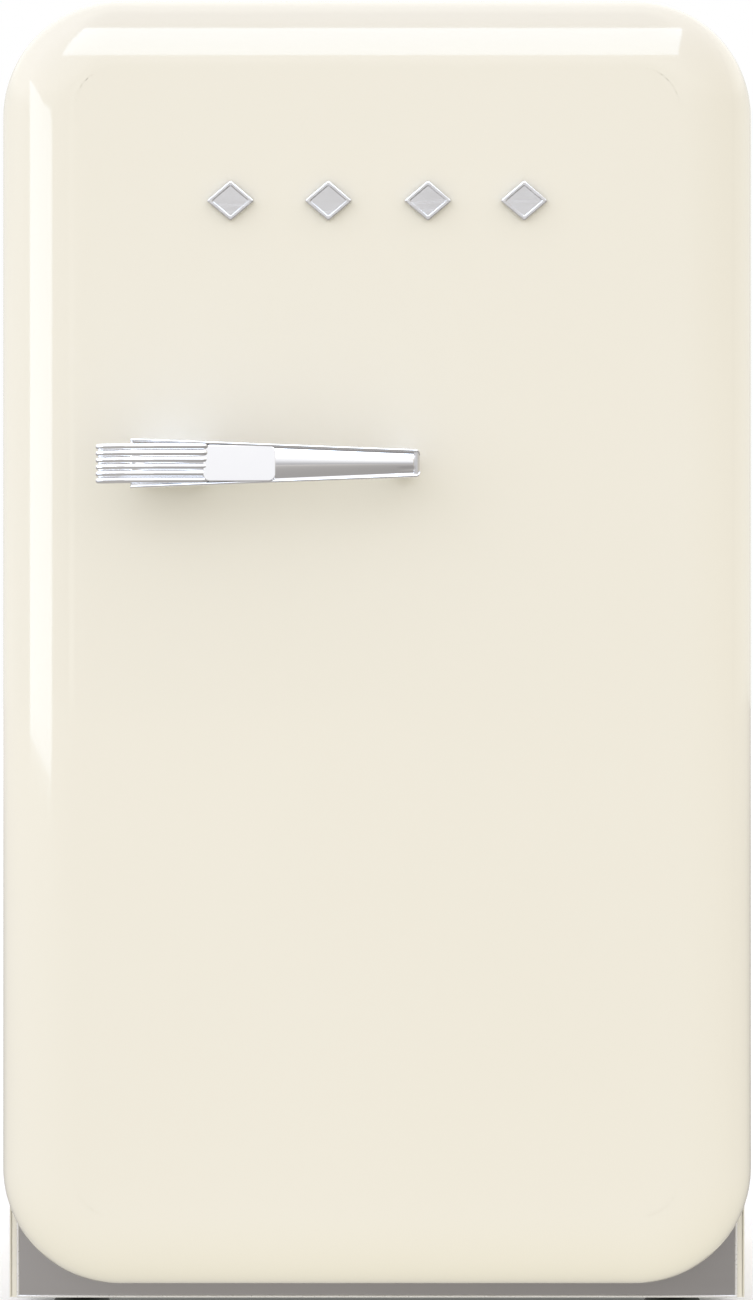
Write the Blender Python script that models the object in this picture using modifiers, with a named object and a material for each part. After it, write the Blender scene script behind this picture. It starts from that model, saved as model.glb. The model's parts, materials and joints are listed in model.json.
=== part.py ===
"""Free-standing mini fridge in the style of the 1950s, with an absorption cooling unit on its back.

Metres, +Z up. The door faces -Y, the hinges are on the right (+X) and the origin is on the floor,
at the middle of the fridge's width and depth.
"""

import math

import bmesh
import bpy
from mathutils import Matrix, Vector

# ---------------------------------------------------------------- driving dimensions
WIDTH = 0.404
HEIGHT = 0.720
DEPTH = 0.498
FRONT = -DEPTH / 2
BACK = DEPTH / 2
SIDE = WIDTH / 2

GAP = 0.0003
CORNER_RADIUS = 0.063
CORNER_STEPS = 8

# Feet
FOOT_HEIGHT = 0.014
FOOT_X = 0.165
FRONT_FOOT_Y = -0.100
REAR_FOOT_Y = 0.135
FOOT_RADIUS = 0.016
STEM_RADIUS = 0.005
STEM_TOP = 0.034

# Door, from its front backwards
HANDLE_REACH = 0.042
SKIN_DEPTH = 0.045
SKIN_ROUNDING = 0.042
SKIN_ROUND_STEPS = 6
SKIN_THICKNESS = 0.0008
DOOR_FRAME_DEPTH = 0.020
DOOR_FRAME_INSET = 0.006
DOOR_FRAME_WALL = 0.008
DOOR_GAP = 0.010
DOOR_BOTTOM = 0.028

DOOR_FRONT = FRONT + HANDLE_REACH
SKIN_REAR = DOOR_FRONT + SKIN_DEPTH
DOOR_REAR = SKIN_REAR + DOOR_FRAME_DEPTH
CABINET_FRONT = DOOR_REAR + DOOR_GAP

# Cabinet
SHELL_THICKNESS = 0.001
CABINET_BACK = 0.168
BACK_PANEL_THICKNESS = 0.0008
BASE_THICKNESS = 0.002
PLINTH_HALF_WIDTH = 0.198
PLINTH_HEIGHT = 0.048
PLINTH_THICKNESS = 0.0012

# Cold compartment
OPENING_HALF_WIDTH = 0.150
OPENING_BOTTOM = 0.110
OPENING_TOP = 0.655
OPENING_RADIUS = 0.016
LINER_BACK = 0.120
LINER_WALL = 0.0015
LINER_FLANGE = 0.007
LEDGE_HEIGHTS = (0.230, 0.330, 0.430, 0.520)
LEDGE_SIZE = (0.006, 0.008)
LEDGE_FRONT = -0.050
SHELF_LEDGES = {"upper": 0.430, "lower": 0.230}
GLASS_THICKNESS = 0.004
SHELF_TRIM_SIZE = (0.012, 0.013)

# Evaporator, drip tray and controls
EVAPORATOR_HALF_WIDTH = 0.070
EVAPORATOR_ENDS = (0.557, 0.635)
EVAPORATOR_FINS = 11
EVAPORATOR_DEPTH = 0.038
EVAPORATOR_PLATE = 0.005
TRAY_FRONT = 0.070
HOUSING_BOX = ((-0.060, -0.050, 0.631), (0.060, 0.020, 0.6547))
KNOB_X = 0.034
KNOB_Z = 0.643
KNOB_RADIUS = 0.0105
KNOB_LENGTH = 0.012
LENS_BOX = ((-0.048, -0.042, 0.627), (0.016, 0.010, 0.6307))

# Hinge
PIN_X = 0.187
PIN_Y = SKIN_REAR + 0.0075
PIN_RADIUS = 0.004
PIN_LENGTH = 0.031
BUSH_RADIUS = 0.0065
BUSH_LENGTH = 0.026
HINGE_POCKET_DEPTH = 0.044
HINGE_POCKET_LEFT = 0.128
TONGUE_THICKNESS = 0.003
TONGUE_CLEARANCE = 0.004
BRACKET_THICKNESS = 0.0025
FLANGE_HEIGHT = 0.015
DOOR_MIDDLE = (DOOR_BOTTOM + HEIGHT) / 2
POCKET_Z = HEIGHT - HINGE_POCKET_DEPTH
TONGUE_LOW = POCKET_Z + TONGUE_CLEARANCE

# Gasket and the door's inner panel
GASKET_WIDTH = 0.012
GASKET_OUTSIDE = 0.020
PANEL_THICKNESS = 0.0015
DYKE_CLEARANCE = 0.007
DYKE_WIDTH = 0.014
DYKE_DEPTH = 0.028
DYKE_OUTER = OPENING_HALF_WIDTH - DYKE_CLEARANCE

# Door racks
RACK_FLOORS = {"upper": 0.470, "lower": 0.150}
RACK_HALF_WIDTH = 0.1275
RACK_REAR = -0.062
RACK_HEIGHT = 0.045
RACK_WALL = 0.002
RACK_EAR_HEIGHT = 0.080
RAIL_RADIUS = 0.0025

# Handle: a channelled arm, and a grip whose sections are (x, front, rear, half height)
HANDLE_HEIGHT = 0.4666
ARM_LEFT = -0.1279
ARM_RIGHT = 0.0222
ARM_TIP = 0.003
ARM_HEIGHTS = (0.0258, 0.0143)
ARM_THICKNESS = 0.010
ARM_RECESS = 0.004
ARM_RIM = 0.0012
GRIP_LEFT = -0.1447
GRIP_RIGHT = -0.0525
GRIP_PROUD = 0.0015
ARM_FRONT = FRONT + GRIP_PROUD
ARM_REAR = ARM_FRONT + ARM_THICKNESS
GRIP_FLOOR = ARM_FRONT + ARM_RECESS - GAP
GRIP_BACK = FRONT + 0.013
GRIP_STATIONS = (
    (GRIP_LEFT, FRONT + 0.009, GRIP_BACK, 0.0105),
    (ARM_LEFT - 0.0040, FRONT + 0.0012, GRIP_BACK, 0.0108),
    (ARM_LEFT - 0.0012, FRONT + 0.0008, GRIP_BACK, 0.0108),
    (ARM_LEFT - 0.0008, FRONT + 0.0008, GRIP_FLOOR, 0.0108),
    (ARM_LEFT + 0.0120, FRONT, GRIP_FLOOR, 0.0106),
    (GRIP_RIGHT - 0.036, FRONT + 0.0008, GRIP_FLOOR, 0.0096),
    (GRIP_RIGHT, GRIP_FLOOR - 0.0025, GRIP_FLOOR, 0.0084),
)
HANDLE_POSTS = {"left": (-0.1265, -0.0890, 0.0088), "right": (0.0084, 0.0205, 0.0053)}

# Ornaments above the handle
ORNAMENT_PLACES = (-0.0774, -0.0257, 0.0269, 0.0777)
ORNAMENT_HEIGHT = 0.6071
ORNAMENT_SIZE = (0.0254, 0.0215)
ORNAMENT_RELIEF = 0.003

# Cooling unit
UNIT_Y = 0.206
COIL_Y = 0.224
TUBE_RADIUS = 0.007
BOILER_X = -0.115
BOILER_RADIUS = 0.030
BOILER_ENDS = (0.070, 0.250)
CONDENSER_LEFT = -0.094
CONDENSER_RIGHT = 0.128
CONDENSER_Z = 0.606
CONDENSER_FINS = 9
FIN_SIZE = (0.052, 0.0014)
VESSEL_ENDS = (-0.060, 0.130)
VESSEL_RADIUS = 0.024
VESSEL_Z = 0.110
COIL_ENDS = (-0.052, 0.150)
COIL_LEVELS = (0.170, 0.210, 0.250, 0.290)
COIL_SLOPE = 0.008
COIL_RETURN_Z = 0.330
EXCHANGER_X = 0.070
EXCHANGER_RADIUS = 0.012
EXCHANGER_Y = 0.192
DRAIN_X = -0.020
DRAIN_Z = 0.544
DRAIN_RADIUS = 0.005
PAN_BOTTOM = 0.3115
PAN_BOX = (-0.076, 0.048, 0.1715, 0.240)
PAN_DEPTH = 0.026

# Mains connection and wall spacers
JUNCTION_BOX = ((-0.194, 0.1695, 0.064), (-0.149, 0.2050, 0.150))
INLET_Z = 0.110
INLET_HALF_SIZE = (0.016, 0.013)
INLET_LENGTH = 0.018
MOUTH_HALF_SIZE = (0.012, 0.009)
PIN_OFFSETS = {"live": -0.007, "earth": 0.0, "neutral": 0.007}
SPACER_X = 0.160
SPACER_HALF_WIDTH = 0.010
SPACER_Z = 0.650

MODEL = "mini_fridge"


# ---------------------------------------------------------------- scene and materials
def clear_scene():
    """Removes what the scene holds at the start."""
    for existing in list(bpy.data.objects):
        bpy.data.objects.remove(existing, do_unlink=True)


def new_collection(name):
    collection = bpy.data.collections.new(name)
    bpy.context.scene.collection.children.link(collection)
    return collection


def material(name, colour, roughness, metallic=0.0, transmission=0.0):
    made = bpy.data.materials.new(name)
    made.use_nodes = True
    shader = made.node_tree.nodes["Principled BSDF"]
    shader.inputs["Base Color"].default_value = (*colour, 1.0)
    shader.inputs["Roughness"].default_value = roughness
    shader.inputs["Metallic"].default_value = metallic
    shader.inputs["Transmission Weight"].default_value = transmission
    made.diffuse_color = (*colour, 1.0)
    return made


clear_scene()
PARTS = new_collection(MODEL)
CUTTERS = new_collection("cutters")

CREAM = material("cream_enamel", (0.86, 0.82, 0.72), 0.15)
WHITE = material("white_plastic", (0.90, 0.91, 0.90), 0.30)
FOAM = material("foam", (0.85, 0.78, 0.55), 0.90)
CHROME = material("chrome", (0.80, 0.80, 0.81), 0.08, 1.0)
STEEL = material("brushed_steel", (0.52, 0.51, 0.50), 0.32, 1.0)
ZINC = material("zinc_plate", (0.60, 0.62, 0.64), 0.40, 1.0)
ALUMINIUM = material("aluminium", (0.78, 0.79, 0.80), 0.35, 1.0)
UNIT_BLACK = material("unit_black", (0.03, 0.03, 0.032), 0.45)
RUBBER = material("grey_rubber", (0.55, 0.55, 0.54), 0.60)
DARK = material("dark_plastic", (0.06, 0.06, 0.06), 0.45)
GLASS = material("shelf_glass", (0.85, 0.94, 0.90), 0.05, 0.0, 0.9)
LENS = material("lamp_lens", (0.95, 0.95, 0.92), 0.35, 0.0, 0.5)


# ---------------------------------------------------------------- shapes
def add_object(name, mesh, finish, collection=None):
    made = bpy.data.objects.new(name, mesh)
    (collection or PARTS).objects.link(made)
    if finish:
        mesh.materials.append(finish)
    return made


def shade(made):
    """Smooth shading with the sharp edges kept."""
    made.data.shade_smooth()
    made.data.set_sharp_from_angle(angle=math.radians(35))
    return made


def box(name, low, high, finish, bevel=0.0):
    """A box between two corners, its edges rounded where bevel is given."""
    low, high = Vector(low), Vector(high)
    size = high - low
    mesh = bpy.data.meshes.new(name)
    solid = bmesh.new()
    bmesh.ops.create_cube(solid, size=1.0)
    bmesh.ops.scale(solid, vec=size, verts=solid.verts)
    solid.to_mesh(mesh)
    solid.free()
    made = add_object(name, mesh, finish)
    made.location = (low + high) / 2
    if bevel:
        rounding = made.modifiers.new("rounding", "BEVEL")
        rounding.width = bevel
        rounding.segments = 2
    return made


def rounded_rectangle(left, right, bottom, top, lower_radius, upper_radius, steps=CORNER_STEPS):
    """Outline points, anticlockwise from the lower left corner; a radius of 0 gives one point."""
    corners = (
        (left, bottom, 1, 1, lower_radius, math.pi),
        (right, bottom, -1, 1, lower_radius, 1.5 * math.pi),
        (right, top, -1, -1, upper_radius, 0.0),
        (left, top, 1, -1, upper_radius, 0.5 * math.pi),
    )
    points = []
    for x, z, inward_x, inward_z, radius, start in corners:
        centre = (x + inward_x * radius, z + inward_z * radius)
        for step in range(steps + 1 if radius > 0 else 1):
            angle = start + 0.5 * math.pi * step / steps
            points.append((centre[0] + radius * math.cos(angle), centre[1] + radius * math.sin(angle)))
    return points


def circle(x, y, radius, steps=20):
    turns = [2 * math.pi * step / steps for step in range(steps)]
    return [(x + radius * math.cos(turn), y + radius * math.sin(turn)) for turn in turns]


def to_mesh(made):
    """Turns a curve object into a mesh object with welded caps, its place in its points."""
    bpy.context.view_layer.update()
    graph = bpy.context.evaluated_depsgraph_get()
    mesh = bpy.data.meshes.new_from_object(made.evaluated_get(graph))
    mesh.transform(made.matrix_world)
    solid = bmesh.new()
    solid.from_mesh(mesh)
    bmesh.ops.remove_doubles(solid, verts=solid.verts, dist=0.00001)
    solid.to_mesh(mesh)
    solid.free()
    name = made.name
    owner = made.users_collection[0]
    bpy.data.objects.remove(made, do_unlink=True)
    mesh_object = bpy.data.objects.new(name, mesh)
    owner.objects.link(mesh_object)
    return mesh_object


PLANES = {
    "X": (Matrix.Rotation(math.pi / 2, 4, "Z") @ Matrix.Rotation(math.pi / 2, 4, "X"), Vector((1, 0, 0))),
    "Y": (Matrix.Rotation(math.pi / 2, 4, "X"), Vector((0, 1, 0))),
    "Z": (Matrix.Identity(4), Vector((0, 0, 1))),
}


def plate(name, outlines, start, end, finish, across="Y", collection=None):
    """A flat sheet from start to end along one axis; the first outline is its edge, the rest holes.

    Outlines are (x, z) points across Y, (x, y) points across Z and (y, z) points across X.
    """
    turn, direction = PLANES[across]
    data = bpy.data.curves.new(name, "CURVE")
    data.dimensions = "2D"
    data.fill_mode = "BOTH"
    data.extrude = (end - start) / 2
    for outline in outlines:
        spline = data.splines.new("POLY")
        spline.points.add(len(outline) - 1)
        for point, (u, v) in zip(spline.points, outline):
            point.co = (u, v, 0.0, 1.0)
        spline.use_cyclic_u = True
    made = bpy.data.objects.new(name, data)
    (collection or PARTS).objects.link(made)
    if finish:
        data.materials.append(finish)
    made.matrix_world = Matrix.Translation(direction * (start + end) / 2) @ turn
    return to_mesh(made)


def bent_path(corners, bend, steps=4):
    """The corners of a route with each inner corner replaced by a smooth bend."""
    corners = [Vector(corner) for corner in corners]
    path = [corners[0]]
    for before, corner, after in zip(corners, corners[1:], corners[2:]):
        start = corner + (before - corner).normalized() * bend
        end = corner + (after - corner).normalized() * bend
        for step in range(steps + 1):
            share = step / steps
            path.append(start.lerp(corner, share).lerp(corner.lerp(end, share), share))
    path.append(corners[-1])
    return path


def tube(name, path, radius, finish):
    data = bpy.data.curves.new(name, "CURVE")
    data.dimensions = "3D"
    data.bevel_depth = radius
    data.bevel_resolution = 2
    data.use_fill_caps = True
    spline = data.splines.new("POLY")
    spline.points.add(len(path) - 1)
    for point, place in zip(spline.points, path):
        point.co = (*place, 1.0)
    data.materials.append(finish)
    made = bpy.data.objects.new(name, data)
    PARTS.objects.link(made)
    return made


def turned(name, profile, centre, finish, rotation=(0, 0, 0), steps=24, closed=False):
    """A turned solid: (radius, height) points from the top of its axis down its outer side."""
    mesh = bpy.data.meshes.new(name)
    edges = [(index, index + 1) for index in range(len(profile) - 1)]
    if closed:
        edges.append((len(profile) - 1, 0))
    mesh.from_pydata([(radius, 0.0, height) for radius, height in profile], edges, [])
    made = add_object(name, mesh, finish)
    made.location = centre
    made.rotation_euler = rotation
    screw = made.modifiers.new("turning", "SCREW")
    screw.steps = steps
    screw.render_steps = steps
    screw.use_merge_vertices = True
    screw.merge_threshold = 0.00001
    screw.use_smooth_shade = True
    return made


def cylinder(name, radius, low, high, centre, finish, rotation=(0, 0, 0), steps=24):
    profile = ((0.0, high), (radius, high), (radius, low), (0.0, low))
    return turned(name, profile, centre, finish, rotation, steps)


def loft(name, rings, finish, cap_first, cap_last):
    """A skin through rings of equal length, each a list of (x, y, z) points."""
    solid = bmesh.new()
    rows = [[solid.verts.new(point) for point in ring] for ring in rings]
    for row, following in zip(rows, rows[1:]):
        for index in range(len(row)):
            after = (index + 1) % len(row)
            solid.faces.new((row[index], row[after], following[after], following[index]))
    if cap_first:
        solid.faces.new(list(reversed(rows[0])))
    if cap_last:
        solid.faces.new(rows[-1])
    mesh = bpy.data.meshes.new(name)
    solid.to_mesh(mesh)
    solid.free()
    return add_object(name, mesh, finish)


def thicken(made, thickness):
    """Gives a surface a wall on the side that its faces point away from."""
    wall = made.modifiers.new("wall", "SOLIDIFY")
    wall.thickness = thickness
    wall.offset = -1.0
    wall.use_even_offset = True
    return made


def combine(target, other, operation):
    """Cuts other from target, or joins it to target, and keeps other as a hidden helper."""
    for collection in list(other.users_collection):
        collection.objects.unlink(other)
    CUTTERS.objects.link(other)
    other.hide_render = True
    other.display_type = "WIRE"
    join = target.modifiers.new(operation.lower(), "BOOLEAN")
    join.operation = operation
    join.object = other
    join.solver = "EXACT"
    return target


def cut(target, *cutters):
    for cutter in cutters:
        combine(target, cutter, "DIFFERENCE")
    return target


def join(target, *others):
    for other in others:
        combine(target, other, "UNION")
    return target


def axis_empty(name, place):
    """An empty on a joint's axis, which the joint's moving pieces hang on."""
    made = bpy.data.objects.new(name, None)
    PARTS.objects.link(made)
    made.location = place
    return made


def hang(empty, pieces):
    bpy.context.view_layer.update()
    for piece in pieces:
        piece.parent = empty
        piece.matrix_parent_inverse = empty.matrix_world.inverted()


# ---------------------------------------------------------------- cabinet
def cabinet_outline(inset, bottom):
    """The front outline of the cabinet, with round upper corners and square lower ones."""
    radius = CORNER_RADIUS - inset
    return rounded_rectangle(-SIDE + inset, SIDE - inset, bottom, HEIGHT - inset, 0.0, radius)


def make_shell():
    """The painted wrapper: one sheet over both sides and the top."""
    outline = cabinet_outline(0.0, FOOT_HEIGHT)[1:] + cabinet_outline(0.0, FOOT_HEIGHT)[:1]
    solid = bmesh.new()
    rear_y = CABINET_BACK + BACK_PANEL_THICKNESS
    front = [solid.verts.new((x, CABINET_FRONT, z)) for x, z in outline]
    rear = [solid.verts.new((x, rear_y, z)) for x, z in outline]
    for index in range(len(outline) - 1):
        solid.faces.new((front[index], front[index + 1], rear[index + 1], rear[index]))
    bmesh.ops.reverse_faces(solid, faces=solid.faces)
    mesh = bpy.data.meshes.new("cabinet_shell")
    solid.to_mesh(mesh)
    solid.free()
    shell = add_object("cabinet_shell", mesh, CREAM)
    return thicken(shell, SHELL_THICKNESS)


def opening_outline(grow):
    return rounded_rectangle(
        -OPENING_HALF_WIDTH - grow,
        OPENING_HALF_WIDTH + grow,
        OPENING_BOTTOM - grow,
        OPENING_TOP + grow,
        OPENING_RADIUS + grow,
        OPENING_RADIUS + grow,
        4,
    )


def make_front_frame():
    outlines = (cabinet_outline(SHELL_THICKNESS + GAP, FOOT_HEIGHT), opening_outline(LINER_WALL + GAP))
    return plate("front_frame", outlines, CABINET_FRONT, CABINET_FRONT + SHELL_THICKNESS, CREAM)


def make_liner():
    """The white inner tub, with a flange round its mouth and ledges for the shelves."""
    mouth = CABINET_FRONT - GAP - LINER_WALL
    rings = [
        [(x, mouth, z) for x, z in opening_outline(LINER_FLANGE)],
        [(x, mouth, z) for x, z in opening_outline(0.0)],
        [(x, LINER_BACK, z) for x, z in opening_outline(0.0)],
    ]
    liner = thicken(loft("inner_liner", rings, WHITE, False, True), LINER_WALL)
    wide, high = LEDGE_SIZE
    for level, height in enumerate(LEDGE_HEIGHTS):
        for side in (-1, 1):
            wall = side * (OPENING_HALF_WIDTH + LINER_WALL / 2)
            inner = side * (OPENING_HALF_WIDTH - wide)
            low = (min(wall, inner), LEDGE_FRONT, height - high)
            far = (max(wall, inner), LINER_BACK + LINER_WALL / 2, height)
            join(liner, box(f"ledge_{level}_{side}", low, far, None))
    return cut(liner, drain_hole("liner_drain_hole"))


def make_foam():
    """The foam between the wrapper and the liner."""
    start = CABINET_FRONT + SHELL_THICKNESS + GAP
    bottom = FOOT_HEIGHT + BASE_THICKNESS + GAP
    outlines = (cabinet_outline(SHELL_THICKNESS + GAP, bottom),)
    foam = plate("cabinet_foam", outlines, start, CABINET_BACK - GAP, FOAM)
    hollow = LINER_WALL + GAP
    cavity = plate("tub_cavity", (opening_outline(hollow),), start - 0.01, LINER_BACK + hollow, None)
    wells = (foot_well("foam_well_left", -1), foot_well("foam_well_right", 1))
    return cut(foam, cavity, drain_hole("foam_drain_hole"), *wells)


def make_back_panel():
    outlines = (cabinet_outline(SHELL_THICKNESS + GAP, FOOT_HEIGHT),)
    panel = plate("back_panel", outlines, CABINET_BACK, CABINET_BACK + BACK_PANEL_THICKNESS, ZINC)
    return cut(panel, drain_hole("panel_drain_hole"))


def foot_well(name, side):
    """The clear hole round the stem of a levelling foot."""
    return cylinder(name, STEM_RADIUS + GAP, 0.005, STEM_TOP + GAP, (side * FOOT_X, FRONT_FOOT_Y, 0), None)


def make_base():
    inner = SIDE - SHELL_THICKNESS - GAP
    start = CABINET_FRONT + SHELL_THICKNESS + GAP
    end = CABINET_BACK - GAP
    base = box("base_pan", (-inner, start, FOOT_HEIGHT), (inner, end, FOOT_HEIGHT + BASE_THICKNESS), ZINC)
    return cut(base, foot_well("base_well_left", -1), foot_well("base_well_right", 1))


def make_plinth():
    """The steel plate under the door, with its edges folded forward into a low rim."""
    rear = CABINET_FRONT - GAP
    front = rear - PLINTH_THICKNESS
    top = FOOT_HEIGHT + PLINTH_HEIGHT
    low = (-PLINTH_HALF_WIDTH, front, FOOT_HEIGHT)
    return box("plinth_panel", low, (PLINTH_HALF_WIDTH, rear, top), STEEL, bevel=0.0004)


def make_feet():
    """Two levelling feet in front, which screw down, and two fixed ones at the back."""
    feet = {}
    for side, word in ((-1, "left"), (1, "right")):
        tread = 0.008
        profile = (
            (0.0, STEM_TOP),
            (STEM_RADIUS, STEM_TOP),
            (STEM_RADIUS, tread + 0.002),
            (FOOT_RADIUS - 0.003, tread),
            (FOOT_RADIUS, 0.003),
            (FOOT_RADIUS, 0.0),
            (0.0, 0.0),
        )
        place = (side * FOOT_X, FRONT_FOOT_Y, 0)
        feet[word] = turned(f"front_foot_{word}", profile, place, DARK)
        rear_place = (side * FOOT_X, REAR_FOOT_Y, 0)
        height = FOOT_HEIGHT - GAP
        rear = ((0.0, height), (FOOT_RADIUS - 0.003, height), (FOOT_RADIUS, 0.0), (0.0, 0.0))
        turned(f"rear_foot_{word}", rear, rear_place, DARK)
    return feet


# ---------------------------------------------------------------- inside the compartment
def make_shelves():
    """Glass shelves on the liner's ledges, each with a trim along its front edge."""
    half = OPENING_HALF_WIDTH - 0.0015
    deep, tall = SHELF_TRIM_SIZE
    for word, ledge in SHELF_LEDGES.items():
        floor = ledge + GAP
        front = LEDGE_FRONT + 0.002
        glass_front = front + 0.0025
        low = (-half, glass_front, floor)
        box(f"shelf_glass_{word}", low, (half, LINER_BACK - GAP, floor + GLASS_THICKNESS), GLASS)
        trim_front = LEDGE_FRONT - GAP - 0.008
        trim_low = (-half, trim_front, floor - 0.004)
        trim = box(f"shelf_trim_{word}", trim_low, (half, trim_front + deep, floor - 0.004 + tall), CHROME)
        slot_low = (-half - 0.01, glass_front - GAP, floor - GAP)
        slot_high = (half + 0.01, 0.0, floor + GLASS_THICKNESS + GAP)
        ledge_low = (OPENING_HALF_WIDTH - LEDGE_SIZE[0] - GAP, LEDGE_FRONT - GAP, floor - 0.02)
        notch_right = box(f"trim_notch_right_{word}", ledge_low, (0.2, 0.0, floor), None)
        notch_left_high = (-ledge_low[0], 0.0, floor)
        notch_left = box(f"trim_notch_left_{word}", (-0.2, ledge_low[1], ledge_low[2]), notch_left_high, None)
        cut(trim, box(f"trim_slot_{word}", slot_low, slot_high, None), notch_right, notch_left)


def make_evaporator():
    """The finned block that takes heat from the compartment."""
    low, high = EVAPORATOR_ENDS
    rear = LINER_BACK - GAP
    plate_front = rear - EVAPORATOR_PLATE
    half = EVAPORATOR_HALF_WIDTH
    block = box("evaporator_fins", (-half, plate_front, low), (half, rear, high), ALUMINIUM)
    pitch = 2 * (half - 0.002) / (EVAPORATOR_FINS - 1)
    for index in range(EVAPORATOR_FINS):
        middle = -half + 0.002 + pitch * index
        start = (middle - 0.001, rear - EVAPORATOR_DEPTH, low + 0.001)
        join(block, box(f"fin_{index}", start, (middle + 0.001, plate_front + 0.001, high - 0.001), None))
    return block


def make_drip_tray():
    """The shallow tray under the evaporator, its outlet at the back."""
    half = EVAPORATOR_HALF_WIDTH + 0.008
    top = EVAPORATOR_ENDS[0] - 0.004
    bottom = top - 0.006
    rear = LINER_BACK - GAP
    tray = box("drip_tray", (-half, TRAY_FRONT, bottom), (half, rear, top), WHITE)
    rim = 0.003
    dish_low = (-half + rim, TRAY_FRONT + rim, top - 0.0035)
    dish = box("tray_dish", dish_low, (half - rim, rear - rim, top + 0.01), None)
    return cut(tray, dish, drain_hole("tray_drain_hole"))


def make_drain():
    """The tube from the tray through the back wall and down to the evaporation pan."""
    inlet = LINER_BACK - 0.012
    route = (
        (DRAIN_X, inlet, DRAIN_Z - 0.004),
        (DRAIN_X, 0.188, DRAIN_Z - 0.004),
        (DRAIN_X, 0.188, PAN_BOTTOM + 0.012),
    )
    return tube("drain_tube", bent_path(route, 0.012), DRAIN_RADIUS, WHITE)


def drain_hole(name):
    place = (DRAIN_X, 0, DRAIN_Z - 0.004)
    return cylinder(name, DRAIN_RADIUS + GAP, -0.22, -0.09, place, None, (math.pi / 2, 0, 0))


def make_controls():
    """The housing under the compartment's ceiling, with the thermostat knob and the lamp's lens."""
    low, high = HOUSING_BOX
    box("control_housing", low, high, WHITE, bevel=0.003)
    box("lamp_lens", *LENS_BOX, LENS, bevel=0.0015)
    front = low[1] - GAP
    profile = (
        (0.0, KNOB_LENGTH),
        (KNOB_RADIUS - 0.0015, KNOB_LENGTH),
        (KNOB_RADIUS, KNOB_LENGTH - 0.0015),
        (KNOB_RADIUS, 0.0),
        (0.0, 0.0),
    )
    knob = turned("thermostat_knob", profile, (KNOB_X, front, KNOB_Z), DARK, (math.pi / 2, 0, 0))
    pointer_low = (KNOB_X - 0.0012, front - KNOB_LENGTH - 0.0015, KNOB_Z)
    pointer_high = (KNOB_X + 0.0012, front - KNOB_LENGTH + 0.001, KNOB_Z + KNOB_RADIUS - 0.002)
    return join(knob, box("knob_pointer", pointer_low, pointer_high, None))


# ---------------------------------------------------------------- hinge
def mirrored(height, upper):
    """A height near the door's top, or the one that matches it near the door's bottom."""
    return height if upper else 2 * DOOR_MIDDLE - height


def spread(first, second):
    return min(first, second), max(first, second)


def hinge_pocket(name, upper, grow=0.0, front=SKIN_REAR + GAP):
    """The corner of the door's rear layer that is left open for the bracket's tongue."""
    low_z, high_z = spread(mirrored(POCKET_Z - grow, upper), mirrored(HEIGHT + 0.01, upper))
    low = (HINGE_POCKET_LEFT - grow, front, low_z)
    return box(name, low, (SIDE + 0.01, DOOR_REAR + 0.05, high_z), None)


def bush_hole(name, upper):
    low_z, high_z = spread(mirrored(POCKET_Z - BUSH_LENGTH - GAP, upper), mirrored(POCKET_Z + 0.005, upper))
    return cylinder(name, BUSH_RADIUS + GAP, low_z, high_z, (PIN_X, PIN_Y, 0), None)


def make_hinge(upper):
    """One bracket, with its pin, and the bush that turns on the pin."""
    word = "top" if upper else "bottom"
    face = CABINET_FRONT - GAP - (0.0 if upper else PLINTH_THICKNESS + GAP)
    low_z, high_z = spread(mirrored(TONGUE_LOW, upper), mirrored(TONGUE_LOW + TONGUE_THICKNESS, upper))
    eye = [
        (PIN_X + BUSH_RADIUS * math.cos(angle), PIN_Y + BUSH_RADIUS * math.sin(angle))
        for angle in (math.radians(30 - 15 * step) for step in range(15))
    ]
    root_y = face - BRACKET_THICKNESS / 2
    outline = [(HINGE_POCKET_LEFT + 0.012, root_y), (PIN_X - 0.010, root_y)] + eye
    hole = circle(PIN_X, PIN_Y, PIN_RADIUS + GAP)
    bracket = plate(f"hinge_bracket_{word}", (outline[::-1], hole), low_z, high_z, ZINC, "Z")
    flange_z = spread(mirrored(TONGUE_LOW + 0.0005, upper), mirrored(TONGUE_LOW + FLANGE_HEIGHT, upper))
    low = (HINGE_POCKET_LEFT + 0.006, face - BRACKET_THICKNESS, flange_z[0])
    join(bracket, box(f"flange_{word}", low, (PIN_X - 0.006, face, flange_z[1]), None))

    head = 0.0025
    far = TONGUE_LOW + TONGUE_THICKNESS + GAP
    tip = far - PIN_LENGTH
    outline = ((0.0, far + head), (PIN_RADIUS + 0.002, far + head), (PIN_RADIUS + 0.002, far))
    outline += ((PIN_RADIUS, far), (PIN_RADIUS, tip), (0.0, tip))
    place = (PIN_X, PIN_Y, 0.0)
    if not upper:
        outline = [(radius, mirrored(height, False)) for radius, height in reversed(outline)]
    turned(f"hinge_pin_{word}", outline, place, STEEL)

    low_z, high_z = spread(mirrored(POCKET_Z - BUSH_LENGTH, upper), mirrored(POCKET_Z, upper))
    inner = PIN_RADIUS + GAP
    ring = ((inner, high_z), (BUSH_RADIUS, high_z), (BUSH_RADIUS, low_z), (inner, low_z))
    return turned(f"hinge_bush_{word}", ring, place, DARK, closed=True)


# ---------------------------------------------------------------- door
def door_outline(inset, steps=CORNER_STEPS):
    radius = max(CORNER_RADIUS - inset, 0.004)
    left, right = -SIDE + inset, SIDE - inset
    return rounded_rectangle(left, right, DOOR_BOTTOM + inset, HEIGHT - inset, radius, radius, steps)


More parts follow.
